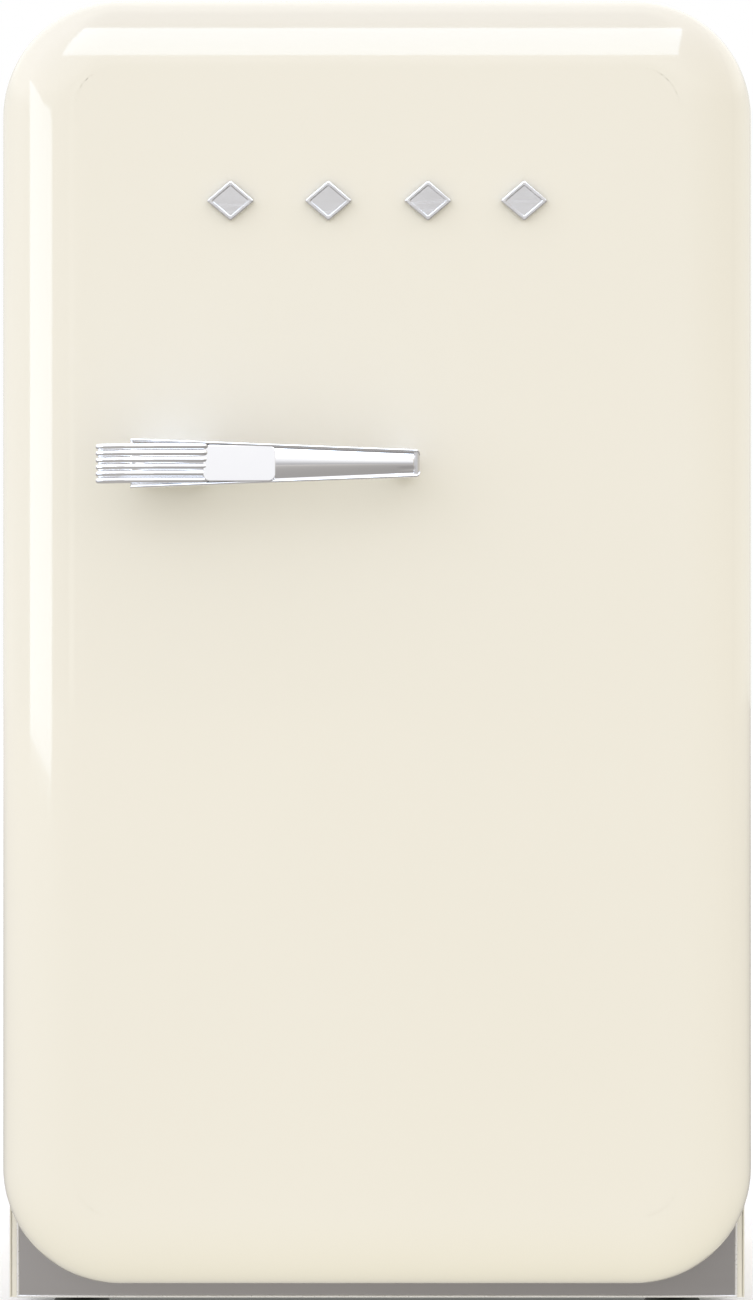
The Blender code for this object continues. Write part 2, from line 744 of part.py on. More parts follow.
def dome_rings(inset, rear):
    """Rings from the rear edge of the domed front, round its soft edge, to its flat middle."""
    rounding = SKIN_ROUNDING - inset
    front = DOOR_FRONT + inset
    rings = [[(x, rear, z) for x, z in door_outline(inset)]]
    for step in range(SKIN_ROUND_STEPS + 1):
        angle = 0.5 * math.pi * step / SKIN_ROUND_STEPS
        sunk = rounding * (1 - math.sin(angle))
        drawn_in = inset + rounding * (1 - math.cos(angle))
        rings.append([(x, front + sunk, z) for x, z in door_outline(drawn_in)])
    return rings


def make_door_skin():
    skin = loft("door_skin", dome_rings(0.0, SKIN_REAR), CREAM, False, True)
    shade(skin)
    return thicken(skin, SKIN_THICKNESS)


def make_door_foam():
    """The foam that fills the dome and the rear frame."""
    inset = SKIN_THICKNESS + GAP
    core = DOOR_FRAME_INSET + DOOR_FRAME_WALL + GAP
    core_rear = [(x, DOOR_REAR - GAP, z) for x, z in door_outline(core)]
    core_front = [(x, SKIN_REAR, z) for x, z in door_outline(core)]
    foam = loft("door_foam", [core_rear, core_front] + dome_rings(inset, SKIN_REAR), FOAM, True, True)
    around = DOOR_FRAME_WALL + GAP
    for upper in (True, False):
        pocket = hinge_pocket(f"foam_pocket_{upper}", upper, around, SKIN_REAR)
        cut(foam, pocket, bush_hole(f"foam_bush_hole_{upper}", upper))
    return foam


def make_door_frame():
    """The band between the skin and the inner panel, which steps in round the two hinge corners."""
    frame = plate("door_frame", (door_outline(DOOR_FRAME_INSET),), SKIN_REAR + GAP, DOOR_REAR - GAP, CREAM)
    inside = door_outline(DOOR_FRAME_INSET + DOOR_FRAME_WALL)
    core = plate("frame_core", (inside,), SKIN_REAR - 0.01, DOOR_REAR + 0.01, None)
    for upper in (True, False):
        cut(core, hinge_pocket(f"core_pocket_{upper}", upper, DOOR_FRAME_WALL, SKIN_REAR - 0.02))
        cut(frame, hinge_pocket(f"frame_pocket_{upper}", upper), bush_hole(f"frame_bush_hole_{upper}", upper))
    return cut(frame, core)


def dyke_outline(inset):
    radius = max(0.018 - inset, 0.006)
    half = DYKE_OUTER - inset
    bottom = OPENING_BOTTOM + DYKE_CLEARANCE + inset
    top = OPENING_TOP - DYKE_CLEARANCE - inset
    return rounded_rectangle(-half, half, bottom, top, radius, radius, 4)


def make_inner_panel():
    """The white panel on the door's back, with a raised dyke and a ledge at each end of each rack."""
    rear = DOOR_REAR + PANEL_THICKNESS
    outlines = (door_outline(DOOR_FRAME_INSET + 0.001),)
    panel = plate("door_inner_panel", outlines, DOOR_REAR, rear, WHITE)
    dyke = (dyke_outline(0.0), dyke_outline(DYKE_WIDTH))
    join(panel, plate("dyke", dyke, rear - 0.0005, DOOR_REAR + DYKE_DEPTH, None))
    inner = DYKE_OUTER - DYKE_WIDTH
    for word, floor in RACK_FLOORS.items():
        for side in (-1, 1):
            low_x, high_x = spread(side * (inner + 0.002), side * (inner - 0.008))
            low = (low_x, rear - 0.0005, floor - 0.008)
            high = (high_x, DOOR_REAR + DYKE_DEPTH - 0.002, floor - GAP)
            join(panel, box(f"rack_ledge_{word}_{side}", low, high, None))
    for upper in (True, False):
        cut(panel, hinge_pocket(f"panel_pocket_{upper}", upper))
    return panel


def make_gasket():
    inside = GASKET_OUTSIDE - GASKET_WIDTH
    outlines = (opening_outline(GASKET_OUTSIDE), opening_outline(inside))
    start = DOOR_REAR + PANEL_THICKNESS + GAP
    return plate("door_gasket", outlines, start, CABINET_FRONT - GAP, RUBBER)


def make_rack(word):
    """One door rack: a tray with raised ends, and the rail between them."""
    floor = RACK_FLOORS[word]
    front = DOOR_REAR + PANEL_THICKNESS + GAP
    half = RACK_HALF_WIDTH
    rack = box(f"door_rack_{word}", (-half, front, floor), (half, RACK_REAR, floor + RACK_HEIGHT), WHITE)
    inside_low = (-half + RACK_WALL, front + RACK_WALL, floor + RACK_WALL)
    inside_high = (half - RACK_WALL, RACK_REAR - RACK_WALL, floor + RACK_HEIGHT + 0.05)
    rail_y = RACK_REAR - 0.006
    for side in (-1, 1):
        low_x, high_x = spread(side * half, side * (half - RACK_WALL))
        start = (low_x, RACK_REAR - 0.024, floor + RACK_HEIGHT - 0.002)
        join(rack, box(f"ear_{word}_{side}", start, (high_x, RACK_REAR, floor + RACK_EAR_HEIGHT), None))
    cut(rack, box(f"trough_{word}", inside_low, inside_high, None))
    reach = half - RACK_WALL - GAP
    rail_z = floor + RACK_EAR_HEIGHT - 0.008
    rail = tube(f"rack_rail_{word}", [(-reach, rail_y, rail_z), (reach, rail_y, rail_z)], RAIL_RADIUS, CHROME)
    return [rack, rail]


# ---------------------------------------------------------------- handle and ornaments
def arm_outline(inset):
    """The arm seen from the front: a long taper with a rounded tip."""
    wide, narrow = (height / 2 - inset for height in ARM_HEIGHTS)
    left, right = ARM_LEFT, ARM_RIGHT - inset
    middle, tip = HANDLE_HEIGHT, ARM_TIP
    points = [(left, middle - wide), (right - tip, middle - narrow), (right, middle - narrow + tip)]
    return points + [(right, middle + narrow - tip), (right - tip, middle + narrow), (left, middle + wide)]


def grip_section(x, front, rear, half_height):
    """The grip's rectangular section at one place along the arm."""
    low, high = HANDLE_HEIGHT - half_height, HANDLE_HEIGHT + half_height
    return [(x, front, low), (x, rear, low), (x, rear, high), (x, front, high)]


def make_handle():
    """The pull: a channelled arm on two posts, with a grip set into its wide end."""
    arm = plate("handle_arm", (arm_outline(0.0),), ARM_FRONT, ARM_REAR, CHROME)
    cut(arm, plate("arm_channel", (arm_outline(ARM_RIM),), ARM_FRONT - 0.01, ARM_FRONT + ARM_RECESS, None))

    grip = loft("handle_grip", [grip_section(*station) for station in GRIP_STATIONS], CHROME, True, True)

    start = ARM_REAR + GAP
    rear = DOOR_FRONT - GAP
    posts = []
    for word, (left, right, tall) in HANDLE_POSTS.items():
        ends = ((left, start, HANDLE_HEIGHT - tall), (right, rear, HANDLE_HEIGHT + tall))
        posts.append(box(f"handle_post_{word}", *ends, CHROME, bevel=0.002))
    return [arm, grip] + posts


def make_ornaments():
    """Four plain lozenges in a row above the handle."""
    half_wide, half_high = (size / 2 for size in ORNAMENT_SIZE)
    made = []
    for index, middle in enumerate(ORNAMENT_PLACES, start=1):
        lozenge = [
            (middle, ORNAMENT_HEIGHT - half_high),
            (middle + half_wide, ORNAMENT_HEIGHT),
            (middle, ORNAMENT_HEIGHT + half_high),
            (middle - half_wide, ORNAMENT_HEIGHT),
        ]
        front = DOOR_FRONT - GAP - ORNAMENT_RELIEF
        made.append(plate(f"ornament_{index}", (lozenge,), front, DOOR_FRONT - GAP, CHROME))
    return made


# ---------------------------------------------------------------- cooling unit
def make_condenser():
    """The top tube of the unit, with square fins along it."""
    ends = [(CONDENSER_LEFT, UNIT_Y, CONDENSER_Z), (CONDENSER_RIGHT, UNIT_Y, CONDENSER_Z)]
    condenser = to_mesh(tube("condenser", ends, TUBE_RADIUS, UNIT_BLACK))
    width, thin = FIN_SIZE
    pitch = (CONDENSER_RIGHT - CONDENSER_LEFT - 0.03) / (CONDENSER_FINS - 1)
    for index in range(CONDENSER_FINS):
        middle = CONDENSER_LEFT + 0.015 + pitch * index
        low = (middle - thin / 2, UNIT_Y - width / 2, CONDENSER_Z - width / 2)
        high = (middle + thin / 2, UNIT_Y + width / 2, CONDENSER_Z + width / 2)
        join(condenser, box(f"condenser_fin_{index}", low, high, None))
    return condenser


def make_coil():
    """The absorber coil: level runs that climb gently and turn back at each end."""
    left, right = COIL_ENDS
    route = [(VESSEL_ENDS[1] + GAP, UNIT_Y, VESSEL_Z), (right + 0.012, UNIT_Y, VESSEL_Z)]
    route += [(right + 0.012, COIL_Y, VESSEL_Z + 0.03), (right + 0.012, COIL_Y, COIL_LEVELS[0])]
    ends = [left, right + 0.012]
    for index, level in enumerate(COIL_LEVELS):
        route.append((ends[index % 2], COIL_Y, level + COIL_SLOPE))
        if index + 1 < len(COIL_LEVELS):
            route.append((ends[index % 2], COIL_Y, COIL_LEVELS[index + 1]))
    panel_rear = CABINET_BACK + BACK_PANEL_THICKNESS + GAP
    route += [(right + 0.012, COIL_Y, COIL_RETURN_Z), (right + 0.012, panel_rear, COIL_RETURN_Z)]
    return tube("absorber_coil", bent_path(route, 0.010, 3), TUBE_RADIUS, UNIT_BLACK)


def make_unit():
    """The sealed absorption unit behind the back panel, and what hangs on it."""
    low, high = BOILER_ENDS
    rim = 0.004
    profile = ((0.0, high), (BOILER_RADIUS - rim, high), (BOILER_RADIUS, high - rim))
    profile += ((BOILER_RADIUS, low + rim), (BOILER_RADIUS - rim, low), (0.0, low))
    turned("boiler_can", profile, (BOILER_X, UNIT_Y, 0), ZINC)

    rise = [(BOILER_X, UNIT_Y, high + GAP), (BOILER_X, UNIT_Y, CONDENSER_Z)]
    rise.append((CONDENSER_LEFT - GAP, UNIT_Y, CONDENSER_Z))
    tube("pump_tube", bent_path(rise, 0.012), TUBE_RADIUS, UNIT_BLACK)
    make_condenser()
    end_x = CONDENSER_RIGHT + 0.016
    panel_rear = CABINET_BACK + BACK_PANEL_THICKNESS + GAP
    line = [(CONDENSER_RIGHT + GAP, UNIT_Y, CONDENSER_Z), (end_x, UNIT_Y, CONDENSER_Z)]
    line += [(end_x, UNIT_Y, CONDENSER_Z - 0.05), (end_x, panel_rear, CONDENSER_Z - 0.05)]
    tube("ammonia_line", bent_path(line, 0.011), 0.005, UNIT_BLACK)

    start, end = VESSEL_ENDS
    middle = (start + end) / 2
    reach = (end - start) / 2
    radius = VESSEL_RADIUS
    barrel = ((0.0, reach), (radius - 0.006, reach), (radius, reach - 0.006))
    barrel += ((radius, -reach + 0.006), (radius - 0.006, -reach), (0.0, -reach))
    turned("absorber_vessel", barrel, (middle, UNIT_Y, VESSEL_Z), UNIT_BLACK, (0, math.pi / 2, 0))
    make_coil()
    link = [(start - GAP, UNIT_Y, VESSEL_Z), (BOILER_X + BOILER_RADIUS + GAP, UNIT_Y, VESSEL_Z)]
    tube("solution_line", link, 0.006, UNIT_BLACK)
    foot = VESSEL_Z + math.sqrt(VESSEL_RADIUS**2 - (UNIT_Y - EXCHANGER_Y) ** 2) + 0.012
    climb = [(EXCHANGER_X, EXCHANGER_Y, foot), (EXCHANGER_X, EXCHANGER_Y, 0.520)]
    climb.append((EXCHANGER_X, panel_rear, 0.520))
    tube("heat_exchanger", bent_path(climb, 0.020), EXCHANGER_RADIUS, UNIT_BLACK)

    for word, x, y, radius, level in (
        ("upper", BOILER_X, UNIT_Y, TUBE_RADIUS, 0.500),
        ("lower", EXCHANGER_X, EXCHANGER_Y, EXCHANGER_RADIUS, 0.400),
    ):
        half = radius + 0.008
        strap = [(x - half, panel_rear), (x + half, panel_rear), (x + half, y + half), (x - half, y + half)]
        hole = circle(x, y, radius + GAP, 24)
        plate(f"unit_bracket_{word}", (strap, hole), level, level + 0.003, ZINC, "Z")


def make_pan():
    """The open pan over the warm coil, where the drained water dries off."""
    left, right, front, rear = PAN_BOX
    wall = 0.0015
    top = PAN_BOTTOM + PAN_DEPTH
    pan = box("evaporation_pan", (left, front, PAN_BOTTOM), (right, rear, top), DARK)
    inside_low = (left + wall, front + wall, PAN_BOTTOM + wall)
    return cut(pan, box("pan_inside", inside_low, (right - wall, rear - wall, top + 0.01), None))


def make_mains():
    """The junction box, and the mains inlet on its back."""
    low, high = JUNCTION_BOX
    box("junction_box", low, high, DARK, bevel=0.002)
    middle = (low[0] + high[0]) / 2
    rear = high[1] + GAP
    wide, tall = INLET_HALF_SIZE
    inlet_low = (middle - wide, rear, INLET_Z - tall)
    inlet_high = (middle + wide, rear + INLET_LENGTH, INLET_Z + tall)
    inlet = box("mains_inlet", inlet_low, inlet_high, DARK, bevel=0.001)
    wide, tall = MOUTH_HALF_SIZE
    mouth_low = (middle - wide, rear + 0.003, INLET_Z - tall)
    cut(inlet, box("inlet_mouth", mouth_low, (middle + wide, rear + 0.03, INLET_Z + tall), None))
    for name, offset in PIN_OFFSETS.items():
        pin_low = (middle + offset - 0.001, rear + 0.002, INLET_Z - 0.002)
        join(inlet, box(f"pin_{name}", pin_low, (pin_low[0] + 0.002, rear + 0.013, INLET_Z + 0.002), None))
    return inlet


def make_spacers():
    """Two spacers that keep the unit off the wall."""
    start = CABINET_BACK + BACK_PANEL_THICKNESS + GAP
    for side, word in ((-1, "left"), (1, "right")):
        middle = side * SPACER_X
        foot, tip = 0.018, 0.006
        outline = [(start, SPACER_Z + foot), (start, SPACER_Z - foot), (start + 0.005, SPACER_Z - foot)]
        outline += [(BACK, SPACER_Z - tip), (BACK, SPACER_Z + tip), (start + 0.005, SPACER_Z + foot)]
        ends = (middle - SPACER_HALF_WIDTH, middle + SPACER_HALF_WIDTH)
        plate(f"wall_spacer_{word}", (outline,), *ends, DARK, "X")


# ---------------------------------------------------------------- assembly
def make_cabinet():
    make_shell()
    make_front_frame()
    make_liner()
    make_foam()
    make_back_panel()
    make_base()
    make_plinth()
    make_shelves()
    make_evaporator()
    make_drip_tray()
    make_drain()
    make_unit()
    make_pan()
    make_mains()
    make_spacers()


def make_door():
    pieces = [make_door_skin(), make_door_foam(), make_door_frame(), make_inner_panel(), make_gasket()]
    pieces += make_handle() + make_ornaments()
    pieces += [make_hinge(True), make_hinge(False)]
    hang(axis_empty("door_hinge_axis", (PIN_X, PIN_Y, DOOR_BOTTOM)), pieces)
    for word, floor in RACK_FLOORS.items():
        hang(axis_empty(f"rack_lift_{word}", (0.0, DOOR_REAR, floor)), make_rack(word))


make_cabinet()
make_feet()
make_controls()
make_door()
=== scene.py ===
"""The looks of a small free-standing fridge in the style of the 1950s.

Metres, +Z up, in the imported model's own frame: the door faces -Y and the hinges are on the right.
Each sub-assembly is a class that reads its places from the frame, builds its pieces there and
dresses them in the finishes below.
"""

import json
import logging
import math
from collections.abc import Sequence
from dataclasses import dataclass, field
from enum import Enum

import bmesh
import bpy
from mathutils import Matrix, Vector

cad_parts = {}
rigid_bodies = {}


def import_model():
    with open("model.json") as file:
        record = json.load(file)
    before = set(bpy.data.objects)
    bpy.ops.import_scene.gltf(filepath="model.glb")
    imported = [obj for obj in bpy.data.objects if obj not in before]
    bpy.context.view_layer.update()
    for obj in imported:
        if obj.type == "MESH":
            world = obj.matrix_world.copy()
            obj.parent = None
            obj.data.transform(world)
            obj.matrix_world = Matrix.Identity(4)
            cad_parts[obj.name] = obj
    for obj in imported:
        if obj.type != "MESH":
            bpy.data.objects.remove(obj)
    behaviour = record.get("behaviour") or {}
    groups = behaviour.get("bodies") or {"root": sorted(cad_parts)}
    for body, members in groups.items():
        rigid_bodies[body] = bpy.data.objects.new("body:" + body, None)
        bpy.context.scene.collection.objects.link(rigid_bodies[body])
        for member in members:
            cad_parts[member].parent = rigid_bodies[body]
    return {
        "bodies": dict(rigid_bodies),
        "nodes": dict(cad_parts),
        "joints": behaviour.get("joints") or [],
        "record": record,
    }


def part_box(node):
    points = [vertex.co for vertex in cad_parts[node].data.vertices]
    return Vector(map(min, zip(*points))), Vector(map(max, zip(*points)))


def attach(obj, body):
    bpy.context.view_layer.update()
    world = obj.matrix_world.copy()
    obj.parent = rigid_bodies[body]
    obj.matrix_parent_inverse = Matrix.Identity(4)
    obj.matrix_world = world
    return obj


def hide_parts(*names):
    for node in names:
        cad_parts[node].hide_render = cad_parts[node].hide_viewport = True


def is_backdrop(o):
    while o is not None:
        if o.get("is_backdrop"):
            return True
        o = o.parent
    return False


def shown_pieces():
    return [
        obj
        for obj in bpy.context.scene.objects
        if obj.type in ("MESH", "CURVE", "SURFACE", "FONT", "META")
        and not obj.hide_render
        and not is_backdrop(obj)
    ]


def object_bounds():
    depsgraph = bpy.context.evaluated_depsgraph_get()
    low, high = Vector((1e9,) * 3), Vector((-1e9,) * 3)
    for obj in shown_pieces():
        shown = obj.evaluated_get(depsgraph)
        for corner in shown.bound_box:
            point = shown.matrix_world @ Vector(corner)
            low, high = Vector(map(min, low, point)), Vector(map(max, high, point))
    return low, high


LOG = logging.getLogger("mini_fridge")
WELD = 1e-6
WHITE = (1.0, 1.0, 1.0)

Colour = tuple[float, float, float]
Point = tuple[float, float, float]
Outline = list[tuple[float, float]]
Object = bpy.types.Object
Material = bpy.types.Material
Socket = bpy.types.NodeSocket


class Axis(Enum):
    """The three directions of the frame."""

    X = 0
    Y = 1
    Z = 2


class Quality(Enum):
    """How many segments a curved surface gets, from a screw head to the boiler's can."""

    SMALL = 12
    MIDDLE = 24
    LARGE = 32
    FINEST = 64


# ---------------------------------------------------------------- mesh helpers
def new_object(name: str, mesh: bpy.types.Mesh) -> Object:
    """Links a mesh to the scene as a new object at the origin."""
    made = bpy.data.objects.new(name, mesh)
    bpy.context.scene.collection.objects.link(made)
    return made


def from_bmesh(solid: bmesh.types.BMesh, name: str) -> Object:
    """Turns a working mesh into a new object and frees it."""
    mesh = bpy.data.meshes.new(name)
    solid.to_mesh(mesh)
    solid.free()
    return new_object(name, mesh)


def wire(name: str, points: Sequence[Point], joined: bool = True) -> Object:
    """An object of points alone, joined by edges in their order or left loose."""
    mesh = bpy.data.meshes.new(name)
    edges = [(index, index + 1) for index in range(len(points) - 1)] if joined else []
    mesh.from_pydata([tuple(point) for point in points], edges, [])
    return new_object(name, mesh)


def shade(piece: Object, angle: float = 35.0) -> Object:
    """Shades a piece smooth, except across edges sharper than the angle.

    Args:
        piece: The mesh object.
        angle: The largest angle between faces that still looks round, in degrees.

    Returns:
        The same object.
    """
    piece.data.shade_smooth()
    piece.data.set_sharp_from_angle(angle=math.radians(angle))
    return piece


def arc(centre: tuple[float, float], radius: float, start: float, end: float, steps: int) -> Outline:
    """Points along an arc, both ends included, with the angles in degrees."""
    made = []
    for step in range(steps + 1):
        angle = math.radians(start + (end - start) * step / steps)
        made.append((centre[0] + radius * math.cos(angle), centre[1] + radius * math.sin(angle)))
    return made


def rounded_rectangle(
    low: tuple[float, float],
    high: tuple[float, float],
    radii: tuple[float, float],
    steps: int,
    runs: int = 1,
) -> Outline:
    """The outline of a rectangle with round corners, anticlockwise from its lower right corner.

    Args:
        low: Its lower left corner.
        high: Its upper right corner.
        radii: The radius of the lower corners and that of the upper ones.
        steps: Segments in each corner's arc.
        runs: Segments in each straight side.

    Returns:
        The outline's points.
    """
    corners = (
        ((high[0] - radii[0], low[1] + radii[0]), radii[0], -90.0),
        ((high[0] - radii[1], high[1] - radii[1]), radii[1], 0.0),
        ((low[0] + radii[1], high[1] - radii[1]), radii[1], 90.0),
        ((low[0] + radii[0], low[1] + radii[0]), radii[0], 180.0),
    )
    arcs = [arc(centre, radius, start, start + 90.0, steps) for centre, radius, start in corners]
    made: Outline = []
    for index, points in enumerate(arcs):
        made += points
        here, there = Vector(points[-1]), Vector(arcs[(index + 1) % 4][0])
        made += [tuple(here.lerp(there, run / runs)) for run in range(1, runs)]
    return made


def loft(
    name: str, rings: Sequence[Sequence[Point]], caps: tuple[bool, bool], looped: bool = False
) -> Object:
    """Joins rings of equally many points with quads.

    Args:
        name: The new object's name.
        rings: Closed rings of points, in order.
        caps: Whether the first and the last ring are filled.
        looped: Whether the last ring joins the first again.

    Returns:
        The new object, its faces pointing outwards.
    """
    solid = bmesh.new()
    made = [[solid.verts.new(point) for point in ring] for ring in rings]
    pairs = list(zip(made, made[1:]))
    if looped:
        pairs.append((made[-1], made[0]))
    for here, there in pairs:
        for index in range(len(here)):
            after = (index + 1) % len(here)
            solid.faces.new((here[index], here[after], there[after], there[index]))
    if caps[0]:
        solid.faces.new(made[0])
    if caps[1]:
        solid.faces.new(made[-1])
    bmesh.ops.remove_doubles(solid, verts=solid.verts, dist=WELD)
    bmesh.ops.recalc_face_normals(solid, faces=solid.faces)
    return from_bmesh(solid, name)


def at(axis: Axis, along: float, across: tuple[float, float]) -> Point:
    """A point from its place along an axis and its two other coordinates, in the order X, Y, Z."""
    others = list(across)
    others.insert(axis.value, along)
    return tuple(others)


def prism(name: str, outline: Outline, axis: Axis, ends: tuple[float, float]) -> Object:
    """A solid of one section between two places along an axis."""
    return loft(name, [[at(axis, end, point) for point in outline] for end in ends], (True, True))


def turned(name: str, profile: Outline, centre: Point, axis: Axis, segments: Quality) -> Object:
    """Turns a profile round an axis.

    Args:
        name: The new object's name.
        profile: Points as (radius, distance along the axis), from pole to pole.
        centre: A point on the axis, from which the distances are measured.
        axis: The direction that the axis runs in.
        segments: Faces round the axis.

    Returns:
        The new object.
    """
    rings = []
    for radius, along in profile:
        across = arc((0.0, 0.0), max(radius, 0.1 * WELD), 0.0, 360.0, segments.value)[:-1]
        rings.append([tuple(Vector(centre) + Vector(at(axis, along, point))) for point in across])
    return loft(name, rings, (True, True))


def fluted(
    name: str,
    stations: Outline,
    centre: tuple[float, float],
    axis: Axis,
    radius: float,
    flutes: int,
    grooved: range,
    facets: int,
) -> Object:
    """Builds a round solid with grooves down its side.

    Args:
        name: The new object's name.
        stations: Rings as (share of the radius, place along the axis).
        centre: Where the axis stands, as the two coordinates across it.
        axis: The direction that the axis runs in.
        radius: The full radius.
        flutes: How many grooves go round it.
        grooved: The stations that have the grooves.
        facets: Faces in each groove.

    Returns:
        The new object.
    """
    segments = flutes * facets
    rings = []
    for index, (share, along) in enumerate(stations):
        depth = 0.05 if index in grooved else 0.0
        ring = []
        for step in range(segments):
            angle = 2 * math.pi * step / segments
            size = radius * share * (1 - depth * (0.5 + 0.5 * math.cos(angle * flutes)))
            across = (centre[0] + size * math.cos(angle), centre[1] + size * math.sin(angle))
            ring.append(at(axis, along, across))
        rings.append(ring)
    return loft(name, rings, (True, True))


def add_bevel(piece: Object, width: float, segments: int = 2, angle: float = 40.0) -> None:
    """Rounds the edges of a piece that are sharper than the angle, with a live modifier."""
    bevel = piece.modifiers.new("rounded_edges", "BEVEL")
    bevel.width = width
    bevel.segments = segments
    bevel.limit_method = "ANGLE"
    bevel.angle_limit = math.radians(angle)
    bevel.harden_normals = False


def add_thickness(piece: Object, thickness: float, offset: float = -1.0) -> None:
    """Gives an open surface its wall, with a live modifier."""
    wall = piece.modifiers.new("wall", "SOLIDIFY")
    wall.thickness = thickness
    wall.offset = offset
    wall.use_even_offset = True


def settle(piece: Object) -> Object:
    """Turns the evaluated piece into its own plain mesh and removes its modifiers."""
    graph = bpy.context.evaluated_depsgraph_get()
    mesh = bpy.data.meshes.new_from_object(piece.evaluated_get(graph))
    old = piece.data
    piece.modifiers.clear()
    piece.data = mesh
    bpy.data.meshes.remove(old)
    return piece


def copy_of(node: Object, name: str, flat_angle: float = 1.0) -> Object:
    """A copy of a frame node, its loose triangles merged and its flat faces dissolved.

    Args:
        node: The frame's object.
        name: The copy's name.
        flat_angle: Faces that meet within this many degrees become one.

    Returns:
        The new object.
    """
    solid = bmesh.new()
    solid.from_mesh(node.data)
    bmesh.ops.remove_doubles(solid, verts=solid.verts, dist=2 * WELD)
    limit = math.radians(flat_angle)
    bmesh.ops.dissolve_limit(solid, angle_limit=limit, verts=solid.verts, edges=solid.edges)
    return from_bmesh(solid, name)


def merge(pieces: Sequence[Object], name: str) -> Object:
    """Joins several mesh objects, modifiers included, into one."""
    solid = bmesh.new()
    for piece in pieces:
        settle(piece)
        solid.from_mesh(piece.data)
        bpy.data.objects.remove(piece)
    return from_bmesh(solid, name)


# ---------------------------------------------------------------- geometry node trees
class Tree:
    """A geometry node tree with named inputs, ending in Realize Instances and Set Material."""

    def __init__(self, name: str) -> None:
        """Starts an empty tree with a geometry input and output."""
        self.group = bpy.data.node_groups.new(name, "GeometryNodeTree")
        self.group.interface.new_socket("Geometry", in_out="INPUT", socket_type="NodeSocketGeometry")
        self.group.interface.new_socket("Geometry", in_out="OUTPUT", socket_type="NodeSocketGeometry")
        self.start = self.group.nodes.new("NodeGroupInput")
        self.end = self.group.nodes.new("NodeGroupOutput")
        self.identifiers: dict[str, str] = {}

    def ask(self, name: str, kind: str) -> Socket:
        """Adds a named input and returns the socket that carries it inside the tree."""
        made = self.group.interface.new_socket(name, in_out="INPUT", socket_type=f"NodeSocket{kind}")
        self.identifiers[name] = made.identifier
        return self.start.outputs[name]

    def node(self, kind: str, **inputs: object) -> bpy.types.Node:
        """Adds a node and sets or links its inputs.

        Args:
            kind: The node's type, without its GeometryNode prefix unless it is a function node.
            inputs: Values or sockets by input name, with underscores for spaces.

        Returns:
            The new node.
        """
        is_function = kind.startswith(("Shader", "Function"))
        made = self.group.nodes.new(kind if is_function else f"GeometryNode{kind}")
        for name, value in inputs.items():
            target = made.inputs[name.replace("_", " ")]
            if isinstance(value, bpy.types.NodeSocket):
                self.group.links.new(value, target)
            else:
                target.default_value = value
        return made

    def row(self, shape: Socket) -> None:
        """Ends the tree with a straight row of a shape, its count and its step asked for by name."""
        line = self.node("MeshLine", Count=self.ask("Count", "Int"), Offset=self.ask("Step", "Vector"))
        placed = self.node("InstanceOnPoints", Points=line.outputs[0], Instance=shape)
        self.close(placed.outputs[0])

    def close(self, result: Socket) -> None:
        """Ends the tree: instances become real and take the material input."""
        material = self.ask("Material", "Material")
        real = self.node("RealizeInstances", Geometry=result)
        painted = self.node("SetMaterial", Geometry=real.outputs[0], Material=material)
        self.group.links.new(painted.outputs[0], self.end.inputs[0])

    def apply(self, piece: Object, **values: object) -> Object:
        """Runs the tree on a piece and keeps the result as its plain mesh.

        Args:
            piece: The object whose mesh enters the tree.
            values: The named inputs, with underscores for spaces.

        Returns:
            The same object, with its new mesh.
        """
        run = piece.modifiers.new(self.group.name, "NODES")
        run.node_group = self.group
        for name, value in values.items():
            run[self.identifiers[name.replace("_", " ")]] = value
        return settle(piece)


def row_tree() -> Tree:
    """A tree that repeats the incoming mesh in a straight row."""
    tree = Tree("row_of_pieces")
    tree.row(tree.start.outputs[0])
    return tree


def ridge_tree() -> Tree:
    """A tree that sweeps a round section along the incoming edges and repeats the rib in a row."""
    tree = Tree("row_of_ridges")
    path = tree.node("MeshToCurve", Mesh=tree.start.outputs[0])
    section = tree.node(
        "CurvePrimitiveCircle", Resolution=Quality.SMALL.value, Radius=tree.ask("Radius", "Float")
    )
    rib = tree.node("CurveToMesh", Curve=path.outputs[0], Profile_Curve=section.outputs[0], Fill_Caps=True)
    smooth = tree.node("SetShadeSmooth", Geometry=rib.outputs[0])
    tree.row(smooth.outputs[0])
    return tree


def scatter_tree() -> Tree:
    """A tree that sets a template object on every incoming point, turned and twisted as asked."""
    tree = Tree("fasteners_on_points")
    template, turn = tree.ask("Template", "Object"), tree.ask("Turn", "Vector")
    twist, seed = tree.ask("Twist", "Float"), tree.ask("Seed", "Int")
    shape = tree.node("ObjectInfo", Object=template)
    placed = tree.node("InstanceOnPoints", Points=tree.start.outputs[0], Instance=shape.outputs["Geometry"])
    tree.group.links.new(turn, placed.inputs["Rotation"])
    spin = tree.node("FunctionNodeRandomValue", Seed=seed)
    spin.data_type = "FLOAT"
    floats = [socket for socket in spin.inputs if socket.type == "VALUE" and socket.name in ("Min", "Max")]
    floats[0].default_value = 0.0
    tree.group.links.new(twist, floats[1])
    value = next(socket for socket in spin.outputs if socket.type == "VALUE")
    angle = tree.node("ShaderNodeCombineXYZ", Z=value)
    turned_on = tree.node("RotateInstances", Instances=placed.outputs[0], Rotation=angle.outputs[0])
    tree.close(turned_on.outputs[0])
    return tree


